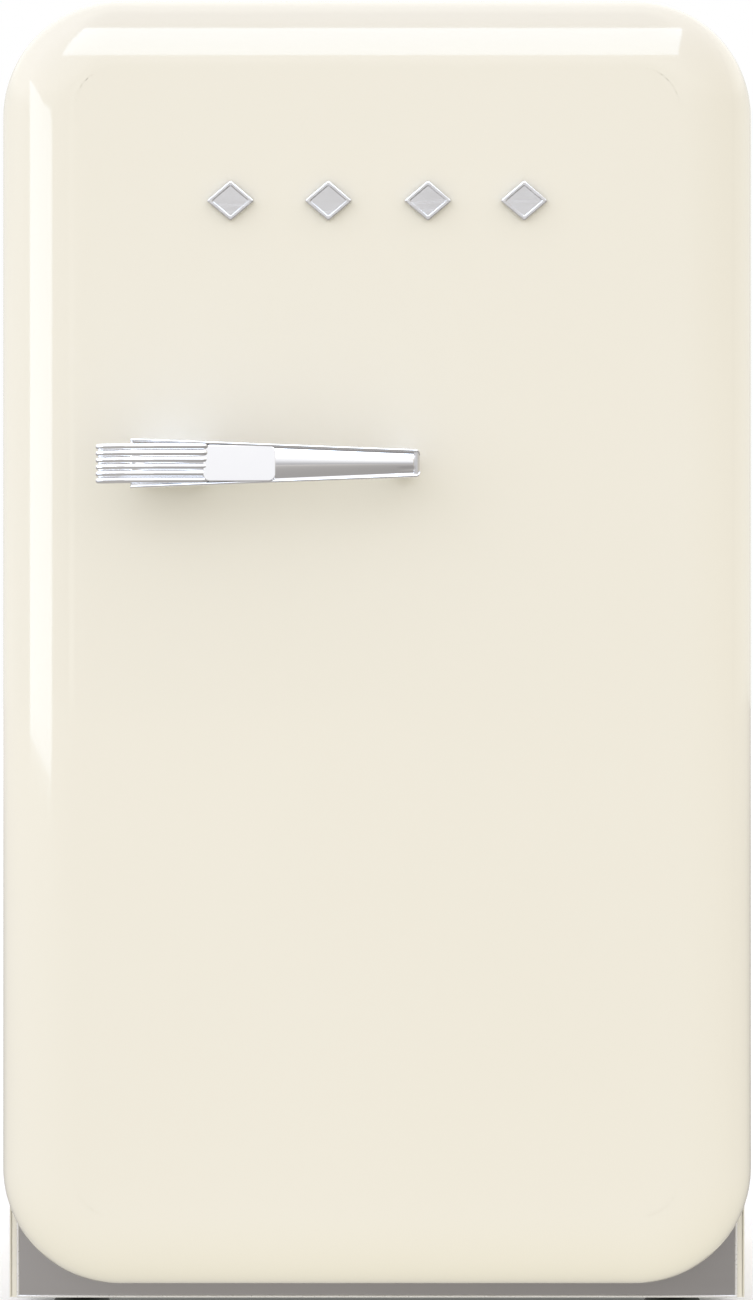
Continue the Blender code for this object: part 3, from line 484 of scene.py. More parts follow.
# ---------------------------------------------------------------- shader node groups
class Effect:
    """A shader node group with named inputs and outputs, placed in several materials."""

    def __init__(self, name: str, inputs: dict[str, tuple[str, object]], outputs: dict[str, str]) -> None:
        """Builds the group's sockets.

        Args:
            name: The group's name.
            inputs: Each input's socket kind and starting value.
            outputs: Each output's socket kind.
        """
        self.group = bpy.data.node_groups.new(name, "ShaderNodeTree")
        for label, (kind, value) in inputs.items():
            made = self.group.interface.new_socket(label, in_out="INPUT", socket_type=f"NodeSocket{kind}")
            made.default_value = value
        for label, kind in outputs.items():
            self.group.interface.new_socket(label, in_out="OUTPUT", socket_type=f"NodeSocket{kind}")
        self.start = self.group.nodes.new("NodeGroupInput")
        self.end = self.group.nodes.new("NodeGroupOutput")

    def node(self, kind: str, settings: dict[str, object] | None = None, **inputs: object) -> bpy.types.Node:
        """Adds a shader node, sets its properties and sets or links its inputs."""
        return shader_node(self.group, kind, settings, **inputs)

    def given(self, label: str) -> Socket:
        """The socket that carries a named input."""
        return self.start.outputs[label]

    def give(self, label: str, value: Socket) -> None:
        """Links a value to a named output."""
        self.group.links.new(value, self.end.inputs[label])

    def noise(self, scale: Socket | float, detail: float) -> Socket:
        """Noise on the piece's own coordinates."""
        place = self.node("TexCoord")
        return self.node("TexNoise", Vector=place.outputs["Object"], Scale=scale, Detail=detail).outputs[0]

    def ramp(self, value: Socket, low: float, high: float) -> Socket:
        """Stretches the span from low to high onto 0 to 1."""
        return ramp(self.group, value, (low, high))

    def product(self, first: Socket, second: Socket) -> Socket:
        """The product of two values."""
        return product(self.group, first, second)

    def blend(self, mask: Socket, second: str) -> None:
        """Ends the group: its colour turns into the named second one by the mask times the amount."""
        share = self.product(mask, self.given("Amount"))
        colours = {"i6": self.given("Colour"), "i7": self.given(second)}
        self.give("Colour", self.node("Mix", {"data_type": "RGBA"}, i0=share, **colours).outputs[2])


def shader_node(
    tree: bpy.types.NodeTree, kind: str, settings: dict[str, object] | None = None, **inputs: object
) -> bpy.types.Node:
    """Adds a shader node to a tree.

    Args:
        tree: The material's or group's tree.
        kind: The node's type, without its ShaderNode prefix.
        settings: Properties to set on the node first.
        inputs: Values or sockets by input name, or by index as i0, i1 and so on.

    Returns:
        The new node.
    """
    made = tree.nodes.new(f"ShaderNode{kind}")
    for name, value in (settings or {}).items():
        setattr(made, name, value)
    for name, value in inputs.items():
        is_index = name[0] == "i" and name[1:].isdigit()
        target = made.inputs[int(name[1:]) if is_index else name.replace("_", " ")]
        if isinstance(value, bpy.types.NodeSocket):
            tree.links.new(value, target)
        else:
            target.default_value = value
    return made


def ramp(
    tree: bpy.types.NodeTree,
    value: Socket,
    span: tuple[float, float],
    result: tuple[float, float] = (0.0, 1.0),
) -> Socket:
    """Maps one span of values onto another and stops at its ends."""
    made = shader_node(tree, "MapRange", i0=value, i1=span[0], i2=span[1], i3=result[0], i4=result[1])
    return made.outputs[0]


def product(tree: bpy.types.NodeTree, first: Socket, second: Socket | float) -> Socket:
    """Multiplies two values."""
    return shader_node(tree, "Math", {"operation": "MULTIPLY"}, i0=first, i1=second).outputs[0]


def tone_effect() -> Effect:
    """Slow, cloudy change between two colours, as paint, plastic and plated metal show."""
    inputs = {
        "Colour": ("Color", (0.8, 0.8, 0.8, 1.0)),
        "Second Colour": ("Color", (0.7, 0.7, 0.7, 1.0)),
        "Scale": ("Float", 6.0),
        "Amount": ("Float", 0.5),
    }
    effect = Effect("colour_variation", inputs, {"Colour": "Color"})
    effect.blend(effect.ramp(effect.noise(effect.given("Scale"), 4.0), 0.35, 0.65), "Second Colour")
    return effect


def wear_effect() -> Effect:
    """Worn colour along convex edges, broken up by noise."""
    inputs = {
        "Colour": ("Color", (0.8, 0.8, 0.8, 1.0)),
        "Worn Colour": ("Color", (0.9, 0.9, 0.9, 1.0)),
        "Amount": ("Float", 0.5),
        "Scale": ("Float", 60.0),
    }
    effect = Effect("edge_wear", inputs, {"Colour": "Color"})
    sharp = effect.ramp(effect.node("NewGeometry").outputs["Pointiness"], 0.52, 0.60)
    broken = effect.ramp(effect.noise(effect.given("Scale"), 6.0), 0.40, 0.62)
    effect.blend(effect.product(sharp, broken), "Worn Colour")
    return effect


def grain_effect() -> Effect:
    """Fine noise stretched along one direction: brushing, rolling marks or a moulded texture."""
    inputs = {"Stretch": ("Vector", (1.0, 1.0, 1.0)), "Scale": ("Float", 400.0), "Detail": ("Float", 3.0)}
    effect = Effect("surface_grain", inputs, {"Height": "Float"})
    place = effect.node("TexCoord")
    scaled = effect.node(
        "VectorMath", {"operation": "MULTIPLY"}, i0=place.outputs["Object"], i1=effect.given("Stretch")
    )
    noise = effect.node(
        "TexNoise", Vector=scaled.outputs[0], Scale=effect.given("Scale"), Detail=effect.given("Detail")
    )
    effect.give("Height", noise.outputs[0])
    return effect


def dust_effect() -> Effect:
    """Pale dust on faces that look up, thicker in some places than in others."""
    inputs = {
        "Colour": ("Color", (0.8, 0.8, 0.8, 1.0)),
        "Dust Colour": ("Color", (0.62, 0.58, 0.52, 1.0)),
        "Amount": ("Float", 0.3),
    }
    effect = Effect("settled_dust", inputs, {"Colour": "Color"})
    split = effect.node("SeparateXYZ", i0=effect.node("NewGeometry").outputs["Normal"])
    up = effect.ramp(split.outputs["Z"], 0.5, 1.0)
    effect.blend(effect.product(up, effect.noise(45.0, 5.0)), "Dust Colour")
    return effect


@dataclass
class Effects:
    """The shared shader groups, built once."""

    tone: Effect = field(default_factory=tone_effect)
    wear: Effect = field(default_factory=wear_effect)
    grain: Effect = field(default_factory=grain_effect)
    dust: Effect = field(default_factory=dust_effect)


# ---------------------------------------------------------------- finishes
@dataclass(frozen=True)
class Finish:
    """One surface finish: its colours, gloss, grain and wear.

    The slot is the record's name for it. Roughness swings by roughness_swing with the grain, and
    bump_depth is the height of the grain in metres.
    """

    slot: str
    colour: Colour
    second: Colour
    roughness: float
    roughness_swing: float = 0.04
    metallic: float = 0.0
    tone_scale: float = 6.0
    tone_amount: float = 0.5
    grain_scale: float = 400.0
    grain_stretch: tuple[float, float, float] = (1.0, 1.0, 1.0)
    grain_detail: float = 3.0
    bump_depth: float = 0.00002
    worn: Colour = (0.9, 0.9, 0.9)
    wear: float = 0.0
    dust: float = 0.0
    coat: float = 0.0
    transmission: float = 0.0
    index: float = 1.45
    glow: float = 0.0

    def build(self, effects: Effects) -> Material:
        """Makes the node material.

        Args:
            effects: The shared shader groups.

        Returns:
            The new material, named after the slot.
        """
        made = bpy.data.materials.new(self.slot)
        made.use_nodes = True
        tree = made.node_tree
        shader = tree.nodes["Principled BSDF"]
        shader.inputs["Metallic"].default_value = self.metallic
        shader.inputs["Coat Weight"].default_value = self.coat
        shader.inputs["Transmission Weight"].default_value = self.transmission
        shader.inputs["IOR"].default_value = self.index
        tone = self.place(tree, effects.tone, Scale=self.tone_scale, Amount=self.tone_amount)
        tone.inputs["Colour"].default_value = (*self.colour, 1.0)
        tone.inputs["Second Colour"].default_value = (*self.second, 1.0)
        colour = tone.outputs["Colour"]
        if self.wear > 0.0:
            worn = self.place(tree, effects.wear, Amount=self.wear)
            worn.inputs["Worn Colour"].default_value = (*self.worn, 1.0)
            tree.links.new(colour, worn.inputs["Colour"])
            colour = worn.outputs["Colour"]
        if self.dust > 0.0:
            dusty = self.place(tree, effects.dust, Amount=self.dust)
            tree.links.new(colour, dusty.inputs["Colour"])
            colour = dusty.outputs["Colour"]
        tree.links.new(colour, shader.inputs["Base Color"])
        if self.glow > 0.0:
            tree.links.new(colour, shader.inputs["Emission Color"])
            shader.inputs["Emission Strength"].default_value = self.glow
        grain = self.place(tree, effects.grain, Scale=self.grain_scale, Detail=self.grain_detail)
        grain.inputs["Stretch"].default_value = self.grain_stretch
        height = grain.outputs["Height"]
        low, high = self.roughness - self.roughness_swing, self.roughness + self.roughness_swing
        rough = ramp(tree, height, (0.3, 0.7), (max(low, 0.0), high))
        tree.links.new(rough, shader.inputs["Roughness"])
        if self.bump_depth > 0.0:
            bump = shader_node(tree, "Bump", Strength=1.0, Distance=self.bump_depth, Height=height)
            tree.links.new(bump.outputs[0], shader.inputs["Normal"])
        return made

    @staticmethod
    def place(tree: bpy.types.NodeTree, effect: Effect, **values: float) -> bpy.types.Node:
        """Places a shared effect in a material's tree and sets its inputs."""
        made = tree.nodes.new("ShaderNodeGroup")
        made.node_tree = effect.group
        for name, value in values.items():
            made.inputs[name].default_value = value
        return made


FINISHES = (
    Finish(
        "cream_enamel", (0.80, 0.770, 0.690), (0.787, 0.754, 0.664), roughness=0.10,
        roughness_swing=0.02, tone_scale=3.0, grain_scale=260.0, grain_detail=1.0,
        bump_depth=0.000002, coat=0.35, wear=0.15, worn=(0.86, 0.82, 0.70),
    ),
    Finish(
        "chrome", (0.84, 0.84, 0.85), (0.80, 0.80, 0.82), roughness=0.07, roughness_swing=0.03,
        metallic=1.0, tone_scale=20.0, grain_scale=120.0, bump_depth=0.000001,
    ),
    Finish(
        "satin_chrome", (0.70, 0.69, 0.69), (0.62, 0.61, 0.61), roughness=0.24,
        roughness_swing=0.06, metallic=1.0, tone_scale=30.0, grain_scale=500.0,
        grain_stretch=(0.05, 1.0, 1.0), bump_depth=0.000003, wear=0.3,
    ),
    Finish(
        "brushed_steel", (0.57, 0.55, 0.54), (0.535, 0.518, 0.508), roughness=0.34,
        roughness_swing=0.03, metallic=1.0, tone_scale=2.2, grain_scale=900.0,
        grain_stretch=(0.01, 1.0, 1.0), bump_depth=0.000004,
    ),
    # On the plinth's hem this pale, partly matt finish paints a bright highlight line along the fold.
    Finish(
        "edge_trim", (0.84, 0.83, 0.83), (0.79, 0.78, 0.78), roughness=0.30, metallic=0.35,
        tone_scale=20.0, grain_scale=600.0, bump_depth=0.000002, wear=0.3,
    ),
    Finish(
        "zinc_plate", (0.60, 0.62, 0.63), (0.52, 0.54, 0.555), roughness=0.38, roughness_swing=0.08,
        metallic=1.0, tone_scale=70.0, tone_amount=0.7, grain_scale=70.0, bump_depth=0.00001,
        wear=0.5, dust=0.35,
    ),
    Finish(
        "aluminium", (0.78, 0.79, 0.80), (0.70, 0.71, 0.73), roughness=0.30, roughness_swing=0.08,
        metallic=1.0, grain_scale=700.0, grain_stretch=(1.0, 1.0, 0.03), bump_depth=0.000004,
        wear=0.3,
    ),
    Finish(
        "white_plastic", (0.84, 0.85, 0.84), (0.81, 0.82, 0.80), roughness=0.34,
        roughness_swing=0.06, grain_scale=900.0, bump_depth=0.000006, wear=0.2,
        worn=(0.93, 0.93, 0.92),
    ),
    Finish(
        "dark_plastic", (0.030, 0.030, 0.032), (0.045, 0.045, 0.047), roughness=0.42,
        roughness_swing=0.08, grain_scale=1100.0, bump_depth=0.00001, wear=0.5,
        worn=(0.16, 0.16, 0.16), dust=0.2,
    ),
    Finish(
        "grey_rubber", (0.33, 0.33, 0.33), (0.29, 0.29, 0.29), roughness=0.62, roughness_swing=0.06,
        grain_scale=800.0, bump_depth=0.000008, wear=0.3, worn=(0.45, 0.45, 0.45),
    ),
    Finish(
        "unit_black", (0.022, 0.022, 0.024), (0.036, 0.034, 0.033), roughness=0.40,
        roughness_swing=0.08, tone_scale=30.0, grain_scale=350.0, bump_depth=0.00002, wear=0.6,
        worn=(0.22, 0.20, 0.18), dust=0.5,
    ),
    Finish(
        "foam", (0.76, 0.72, 0.58), (0.70, 0.65, 0.50), roughness=0.85, roughness_swing=0.05,
        tone_scale=60.0, tone_amount=0.8, grain_scale=600.0, bump_depth=0.0002,
    ),
    Finish(
        "shelf_glass", (0.93, 0.97, 0.95), (0.90, 0.95, 0.93), roughness=0.03, roughness_swing=0.02,
        transmission=1.0, index=1.5, bump_depth=0.0, grain_scale=90.0,
    ),
    Finish(
        "lamp_lens", (0.95, 0.93, 0.86), (0.90, 0.88, 0.80), roughness=0.30, roughness_swing=0.05,
        transmission=0.6, grain_scale=260.0, grain_stretch=(1.0, 0.02, 1.0), bump_depth=0.0001,
        glow=0.25,
    ),
)  # fmt: skip


# ---------------------------------------------------------------- the workshop
@dataclass
class Workshop:
    """What every sub-assembly shares: the frame, the finishes and the node trees."""

    frame: dict
    materials: dict[str, Material] = field(default_factory=dict)
    body_of: dict[str, str] = field(default_factory=dict)
    slot_of: dict[str, str] = field(default_factory=dict)
    stood_for: set[str] = field(default_factory=set)

    def __post_init__(self) -> None:
        """Builds the finishes, and reads which body and finish each node has from the record."""
        effects = Effects()
        self.materials = {finish.slot: finish.build(effects) for finish in FINISHES}
        record = self.frame["record"]
        for body, nodes in record["behaviour"]["bodies"].items():
            for node in nodes:
                self.body_of[node] = body
        self.slot_of = {part["node"]: part["material_slot"] for part in record["subparts"]}
        self.row = row_tree()
        self.ridges = ridge_tree()
        self.scatter = scatter_tree()

    def node(self, name: str) -> Object:
        """The frame's object of that name."""
        return self.frame["nodes"][name]

    def fit(
        self, piece: Object, nodes: Sequence[str], slot: str | None = None, body: str | None = None
    ) -> Object:
        """Dresses a finished piece and sets it on its body.

        Args:
            piece: The finished mesh object, at the origin.
            nodes: The frame nodes that it stands for; none for an added detail.
            slot: The finish, if not that of the first node.
            body: The body that it rides on, if not that of the first node.

        Returns:
            The same object.
        """
        slot = slot or self.slot_of[nodes[0]]
        piece.data.materials.clear()
        piece.data.materials.append(self.materials[slot])
        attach(piece, body or self.body_of[nodes[0]])
        if nodes:
            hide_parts(*nodes)
            self.stood_for.update(nodes)
        return piece

    def refine(self, name: str, bevel: float, segments: int = 2, angle: float = 35.0) -> Object:
        """Stands a finer copy in for a node: merged faces, rounded edges and smooth shading."""
        piece = copy_of(self.node(name), f"{name}_fine")
        if bevel > 0.0:
            add_bevel(piece, bevel, segments, max(angle, 40.0))
        shade(piece, angle)
        return self.fit(piece, [name])

    def round_tube(self, name: str, corner: float = 50.0) -> Object:
        """Stands a rounder copy in for a tube, its corners over an angle in degrees kept sharp."""
        piece = copy_of(self.node(name), f"{name}_fine", 0.2)
        solid = bmesh.new()
        solid.from_mesh(piece.data)
        crease = solid.edges.layers.float.new("crease_edge")
        for edge in solid.edges:
            if len(edge.link_faces) == 2 and edge.calc_face_angle() > math.radians(corner):
                edge[crease] = 1.0
        solid.to_mesh(piece.data)
        solid.free()
        rounder = piece.modifiers.new("rounder", "SUBSURF")
        rounder.levels = rounder.render_levels = 1
        shade(piece, corner)
        return self.fit(piece, [name])


# ---------------------------------------------------------------- door
@dataclass
class DoorShell:
    """The domed door: skin, rear frame, foam, inner panel and gasket."""

    shop: Workshop
    corner: float = 0.063
    rounding: float = 0.042
    crown: float = 0.0011
    wall: float = 0.0008
    hem: float = 0.0075
    hem_radius: float = 0.0012
    crown_rings: int = 12
    side_runs: int = 14
    least_corner: float = 0.004
    gasket_width: float = 0.012
    gasket_corner: float = 0.036

    def outline(self, inset: float) -> Outline:
        """The door's front outline, drawn in by the inset."""
        low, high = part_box("door_skin")
        radius = max(self.corner - inset, self.least_corner)
        near, far = (low.x + inset, low.z + inset), (high.x - inset, high.z - inset)
        return rounded_rectangle(near, far, (radius, radius), Quality.LARGE.value, self.side_runs)

    def build_skin(self) -> Object:
        """Builds the sheet over the whole front: a soft rounding, and a face with a slight crown.

        Returns:
            The fitted skin.
        """
        low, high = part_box("door_skin")
        face = low.y + self.crown
        rings = [[(x, high.y, z) for x, z in self.outline(self.hem)]]
        rings += [[(x, high.y, z) for x, z in self.outline(self.hem_radius)]]
        middle = (self.hem_radius, self.hem_radius)
        for inset, forward in arc(middle, self.hem_radius, -90.0, -180.0, 4)[1:]:
            rings.append([(x, high.y - forward, z) for x, z in self.outline(inset)])
        steps = Quality.LARGE.value
        for step in range(steps + 1):
            angle = 0.5 * math.pi * step / steps
            sunk = self.rounding * (1 - math.sin(angle))
            inset = self.rounding * (1 - math.cos(angle))
            rings.append([(x, face + sunk, z) for x, z in self.outline(inset)])
        rim = self.outline(self.rounding)
        middle = (low.z + high.z) / 2
        for step in range(1, self.crown_rings):
            share = 1 - step / self.crown_rings
            rise = self.crown * (1 - share * share * (3 - 2 * share))
            rings.append([(x * share, face - rise, middle + (z - middle) * share) for x, z in rim])
        skin = loft("door_skin_domed", rings, (False, True))
        add_thickness(skin, self.wall)
        shade(skin, 50.0)
        return self.shop.fit(skin, ["door_skin"])

    def build_gasket(self) -> Object:
        """Builds the magnetic gasket: bellows against the door, and a plump lip against the cabinet.

        Returns:
            The fitted gasket.
        """
        low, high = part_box("door_gasket")
        depth = high.y - low.y
        shape = (
            (0.10, 0.00), (0.90, 0.00), (0.90, 0.12), (0.74, 0.20), (0.74, 0.28), (0.92, 0.36), (0.92, 0.44),
            (0.76, 0.52), (0.80, 0.60), (1.00, 0.68), (1.00, 0.88), (0.94, 1.00), (0.60, 0.94), (0.40, 0.94),
            (0.06, 1.00), (0.00, 0.88), (0.00, 0.68), (0.20, 0.60), (0.24, 0.52), (0.08, 0.44), (0.08, 0.36),
            (0.26, 0.28), (0.26, 0.20), (0.10, 0.12),
        )  # fmt: skip
        rings = []
        for across, along in shape:
            inset = self.gasket_width * (1 - across)
            radius = self.gasket_corner - inset
            near, far = (low.x + inset, low.z + inset), (high.x - inset, high.z - inset)
            points = rounded_rectangle(near, far, (radius, radius), 12, 4)
            rings.append([(x, low.y + depth * along, z) for x, z in points])
        gasket = loft("door_gasket_bellows", rings, (False, False), looped=True)
        shade(gasket, 60.0)
        return self.shop.fit(gasket, ["door_gasket"])

    def build(self) -> None:
        """Builds every piece of the door's shell."""
        self.build_skin()
        self.build_gasket()
        self.shop.refine("door_frame", 0.0006, angle=30.0)
        self.shop.refine("door_foam", 0.0, angle=40.0)
        self.shop.refine("door_inner_panel", 0.0007, 2)


# ---------------------------------------------------------------- handle
@dataclass
class PullHandle:
    """The chrome pull: a crowned arm between two thin rims, and a ribbed grip with a mirror pad."""

    shop: Workshop
    rim: float = 0.0014
    rim_steps: int = 8
    recess: float = 0.0019
    crown: float = 0.0016
    lip: float = 0.0034
    narrow_height: float = 0.0143
    ridge_count: int = 6
    facet_places: tuple[float, float, float] = (0.0127, 0.0300, 0.0562)
    facet_depths: tuple[float, float, float, float] = (0.0056, 0.0016, 0.0006, 0.0012)
    pad_tilt: float = 0.080
    pad_corner: float = 0.0036
    tip: float = 0.0020
    chamfer: float = 0.0008
    floor_steps: int = 20

    @property
    def ridge_radius(self) -> float:
        """The ridges' radius, so that they touch and fill the grip's height."""
        low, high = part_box("handle_grip")
        return (high.z - low.z - 0.0004) / (2 * self.ridge_count)

    @property
    def middle(self) -> float:
        """The height of the arm's centre line."""
        low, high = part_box("handle_arm")
        return (low.z + high.z) / 2

    def half_height(self, x: float) -> float:
        """Half the arm's height at a place along it."""
        low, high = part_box("handle_arm")
        share = (x - low.x) / (high.x - low.x)
        wide, narrow = (high.z - low.z) / 2, self.narrow_height / 2
        return wide + (narrow - wide) * share

    def section(self, x: float, squeeze: float, filled: float, setback: float = 0.0) -> list[Point]:
        """One section of the arm across its length.

        Args:
            x: The section's place.
            squeeze: The share of the full size that the section keeps, under 1 at the rounded tip.
            filled: How far the channel is filled up towards the rims, from 0 to 1.
            setback: How far the front stands back, for the rounded ends of the rims.

        Returns:
            A closed ring of points.
        """
        low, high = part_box("handle_arm")
        half = self.half_height(x) * squeeze
        shrink = (high.y - low.y) * 0.5 * (1 - squeeze)
        front, rear = low.y + shrink + setback, high.y - shrink
        radius = min(self.rim, half * 0.4) / 2
        turns = [math.pi * step / self.rim_steps for step in range(self.rim_steps + 1)]
        rim = [(front + radius * (1 - math.sin(turn)), radius * (1 - math.cos(turn))) for turn in turns]
        points = [(x, rear - self.chamfer, -half)]
        points += [(x, y, -half + z) for y, z in rim]
        inner = half - 2 * radius - 0.0001
        depth = radius + (self.recess - radius) * (1 - filled)
        for step in range(self.floor_steps + 1):
            share = -1 + 2 * step / self.floor_steps
            bulge = self.crown * (1 - share * share) * (1 - filled)
            points.append((x, front + max(depth - bulge, 0.0), inner * share))
        points += [(x, y, half - z) for y, z in reversed(rim)]
        edge = half - self.chamfer
        points += [(x, rear - self.chamfer, half), (x, rear, edge), (x, rear, -edge)]
        return [(px, py, self.middle + pz) for px, py, pz in points]

    def build_arm(self) -> Object:
        """Builds the arm from sections that round off at the open end and close into a lip at the tip."""
        low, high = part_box("handle_arm")
        rings = []
        for step in range(5):
            angle = 0.5 * math.pi * step / 4
            away = self.rim * (1 - math.sin(angle))
            rings.append(self.section(low.x + self.rim * (1 - math.cos(angle)), 1.0, 0.0, away))
        start, end = low.x + self.rim, high.x - self.lip
        rings += [self.section(start + (end - start) * step / 16, 1.0, 0.0) for step in range(1, 17)]
        rings.append(self.section(end + 0.0003, 1.0, 0.95))
        for step in range(9):
            angle = 0.5 * math.pi * step / 8
            x = high.x - self.tip + self.tip * math.sin(angle)
            rings.append(self.section(x, 0.74 + 0.26 * math.cos(angle), 1.0))
        arm = loft("handle_arm_channelled", rings, (True, True))
        shade(arm, 36.0)
        return self.shop.fit(arm, ["handle_arm"])

    def surface(self, x: float) -> float:
        """The grip's front face at a place along it: three facets that curve back at the far left."""
        low, _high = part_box("handle_grip")
        places = (0.0, *self.facet_places)
        depths = self.facet_depths
        along = x - low.x
        for index in range(3):
            if along <= places[index + 1]:
                share = (along - places[index]) / (places[index + 1] - places[index])
                return low.y + depths[index] + (depths[index + 1] - depths[index]) * share
        return low.y + depths[3]

    def build_grip(self) -> Object:
        """Builds the grip's body and its mirror pad, and lays the ridges over the body."""
        low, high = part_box("handle_grip")
        arm_low, _arm_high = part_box("handle_arm")
        floor = arm_low.y + self.recess
        half = (high.z - low.z) / 2
        places = [low.x + self.facet_places[2] * step / 24 for step in range(25)]
        rings = []
        for x in places:
            rear = floor if x > arm_low.x else high.y
            front = self.surface(x) + self.ridge_radius * 0.9
            tall = half - 0.0003
            outline = rounded_rectangle((front, -tall), (rear, tall), (0.0008, 0.0008), 3)
            rings.append([(x, y, self.middle + z) for y, z in outline])
        body = loft("grip_body", rings, (True, True))

        start = low.x + self.facet_places[2]
        pad_half = half - 0.0013
        pad_front = self.surface(start) + 0.0004
        pad = []
        for depth, inset in ((0.0030, 0.0), (0.0004, 0.0), (0.0001, 0.0001), (0.0, 0.0004), (0.0, 0.0007)):
            outline = rounded_rectangle(
                (start - 0.0015 + inset, -pad_half + inset),
                (high.x - inset, pad_half - inset),
                (self.pad_corner - inset, self.pad_corner - inset),
                6,
            )
            pad.append([(x, pad_front + depth + self.pad_tilt * z, self.middle + z) for x, z in outline])
        pad_piece = loft("grip_pad", pad, (True, True))

        pitch = 2 * self.ridge_radius
        last = start - 0.0008
        steps = 40
        route = [low.x + 0.0006 + (last - low.x - 0.0006) * step / steps for step in range(steps + 1)]
        bottom = self.middle - pitch * (self.ridge_count - 1) / 2
        points = [(low.x + 0.0001, self.surface(route[0]) + self.ridge_radius + 0.0008, bottom)]
        points += [(x, self.surface(x) + self.ridge_radius, bottom) for x in route]
        points.append((route[-1] + 0.0008, points[-1][1] + 0.0006, bottom))
        points.append((route[-1] + 0.0010, points[-2][1] + 0.0018, bottom))
        ribs = wire("grip_ridges", points)
        self.shop.ridges.apply(
            ribs,
            Count=self.ridge_count,
            Step=(0.0, 0.0, pitch),
            Radius=self.ridge_radius,
            Material=self.shop.materials["chrome"],
        )
        grip = merge([body, pad_piece, ribs], "handle_grip_ribbed")
        shade(grip, 40.0)
        return self.shop.fit(grip, ["handle_grip"])

    def build(self) -> None:
        """Builds the arm, the grip and the two posts."""
        self.build_arm()
        self.build_grip()
        for word in ("left", "right"):
            self.shop.refine(f"handle_post_{word}", 0.0006, 3, 25.0)


@dataclass
class Ornaments:
    """Four plain lozenges in satin chrome, each with a bevelled edge and a sunk face."""

    shop: Workshop
    rim: float = 0.0022
    bevel: float = 0.0007
    sink: float = 0.0006

    def build(self) -> None:
        """Builds the lozenges on their nodes' boxes."""
        for index in range(1, 5):
            name = f"ornament_{index}"
            low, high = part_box(name)
            middle = ((low.x + high.x) / 2, (low.z + high.z) / 2)
            half = ((high.x - low.x) / 2, (high.z - low.z) / 2)
            stations = (
                (0.0, high.y),
                (0.0, low.y + self.bevel),
                (self.bevel * 0.35, low.y + self.bevel * 0.3),
                (self.bevel, low.y),
                (self.rim, low.y),
                (self.rim + self.sink, low.y + self.sink),
            )
            rings = []
            for inset, y in stations:
                scale = 1 - inset / min(half)
                points = self.lozenge(middle, (half[0] * scale, half[1] * scale))
                rings.append([(x, y, z) for x, z in points])
            lozenge = loft(f"{name}_bevelled", rings, (True, True))
            shade(lozenge, 25.0)
            self.shop.fit(lozenge, [name])

    @staticmethod
    def lozenge(middle: tuple[float, float], half: tuple[float, float]) -> Outline:
        """A lozenge with slightly rounded corners.

        Args:
            middle: Its centre.
            half: Half its width and half its height.

        Returns:
            The outline's points.
        """
        tips = [(half[0], 0.0), (0.0, half[1]), (-half[0], 0.0), (0.0, -half[1])]
        points: Outline = []
        soft = 0.06
        for index, tip in enumerate(tips):
            before, after = Vector(tips[index - 1]), Vector(tips[(index + 1) % 4])
            here = Vector(tip)
            start, end = here.lerp(before, soft), here.lerp(after, soft)
            for step in range(5):
                share = step / 4
                curve = start.lerp(here, share).lerp(here.lerp(end, share), share)
                points.append((middle[0] + curve.x, middle[1] + curve.y))
        return points


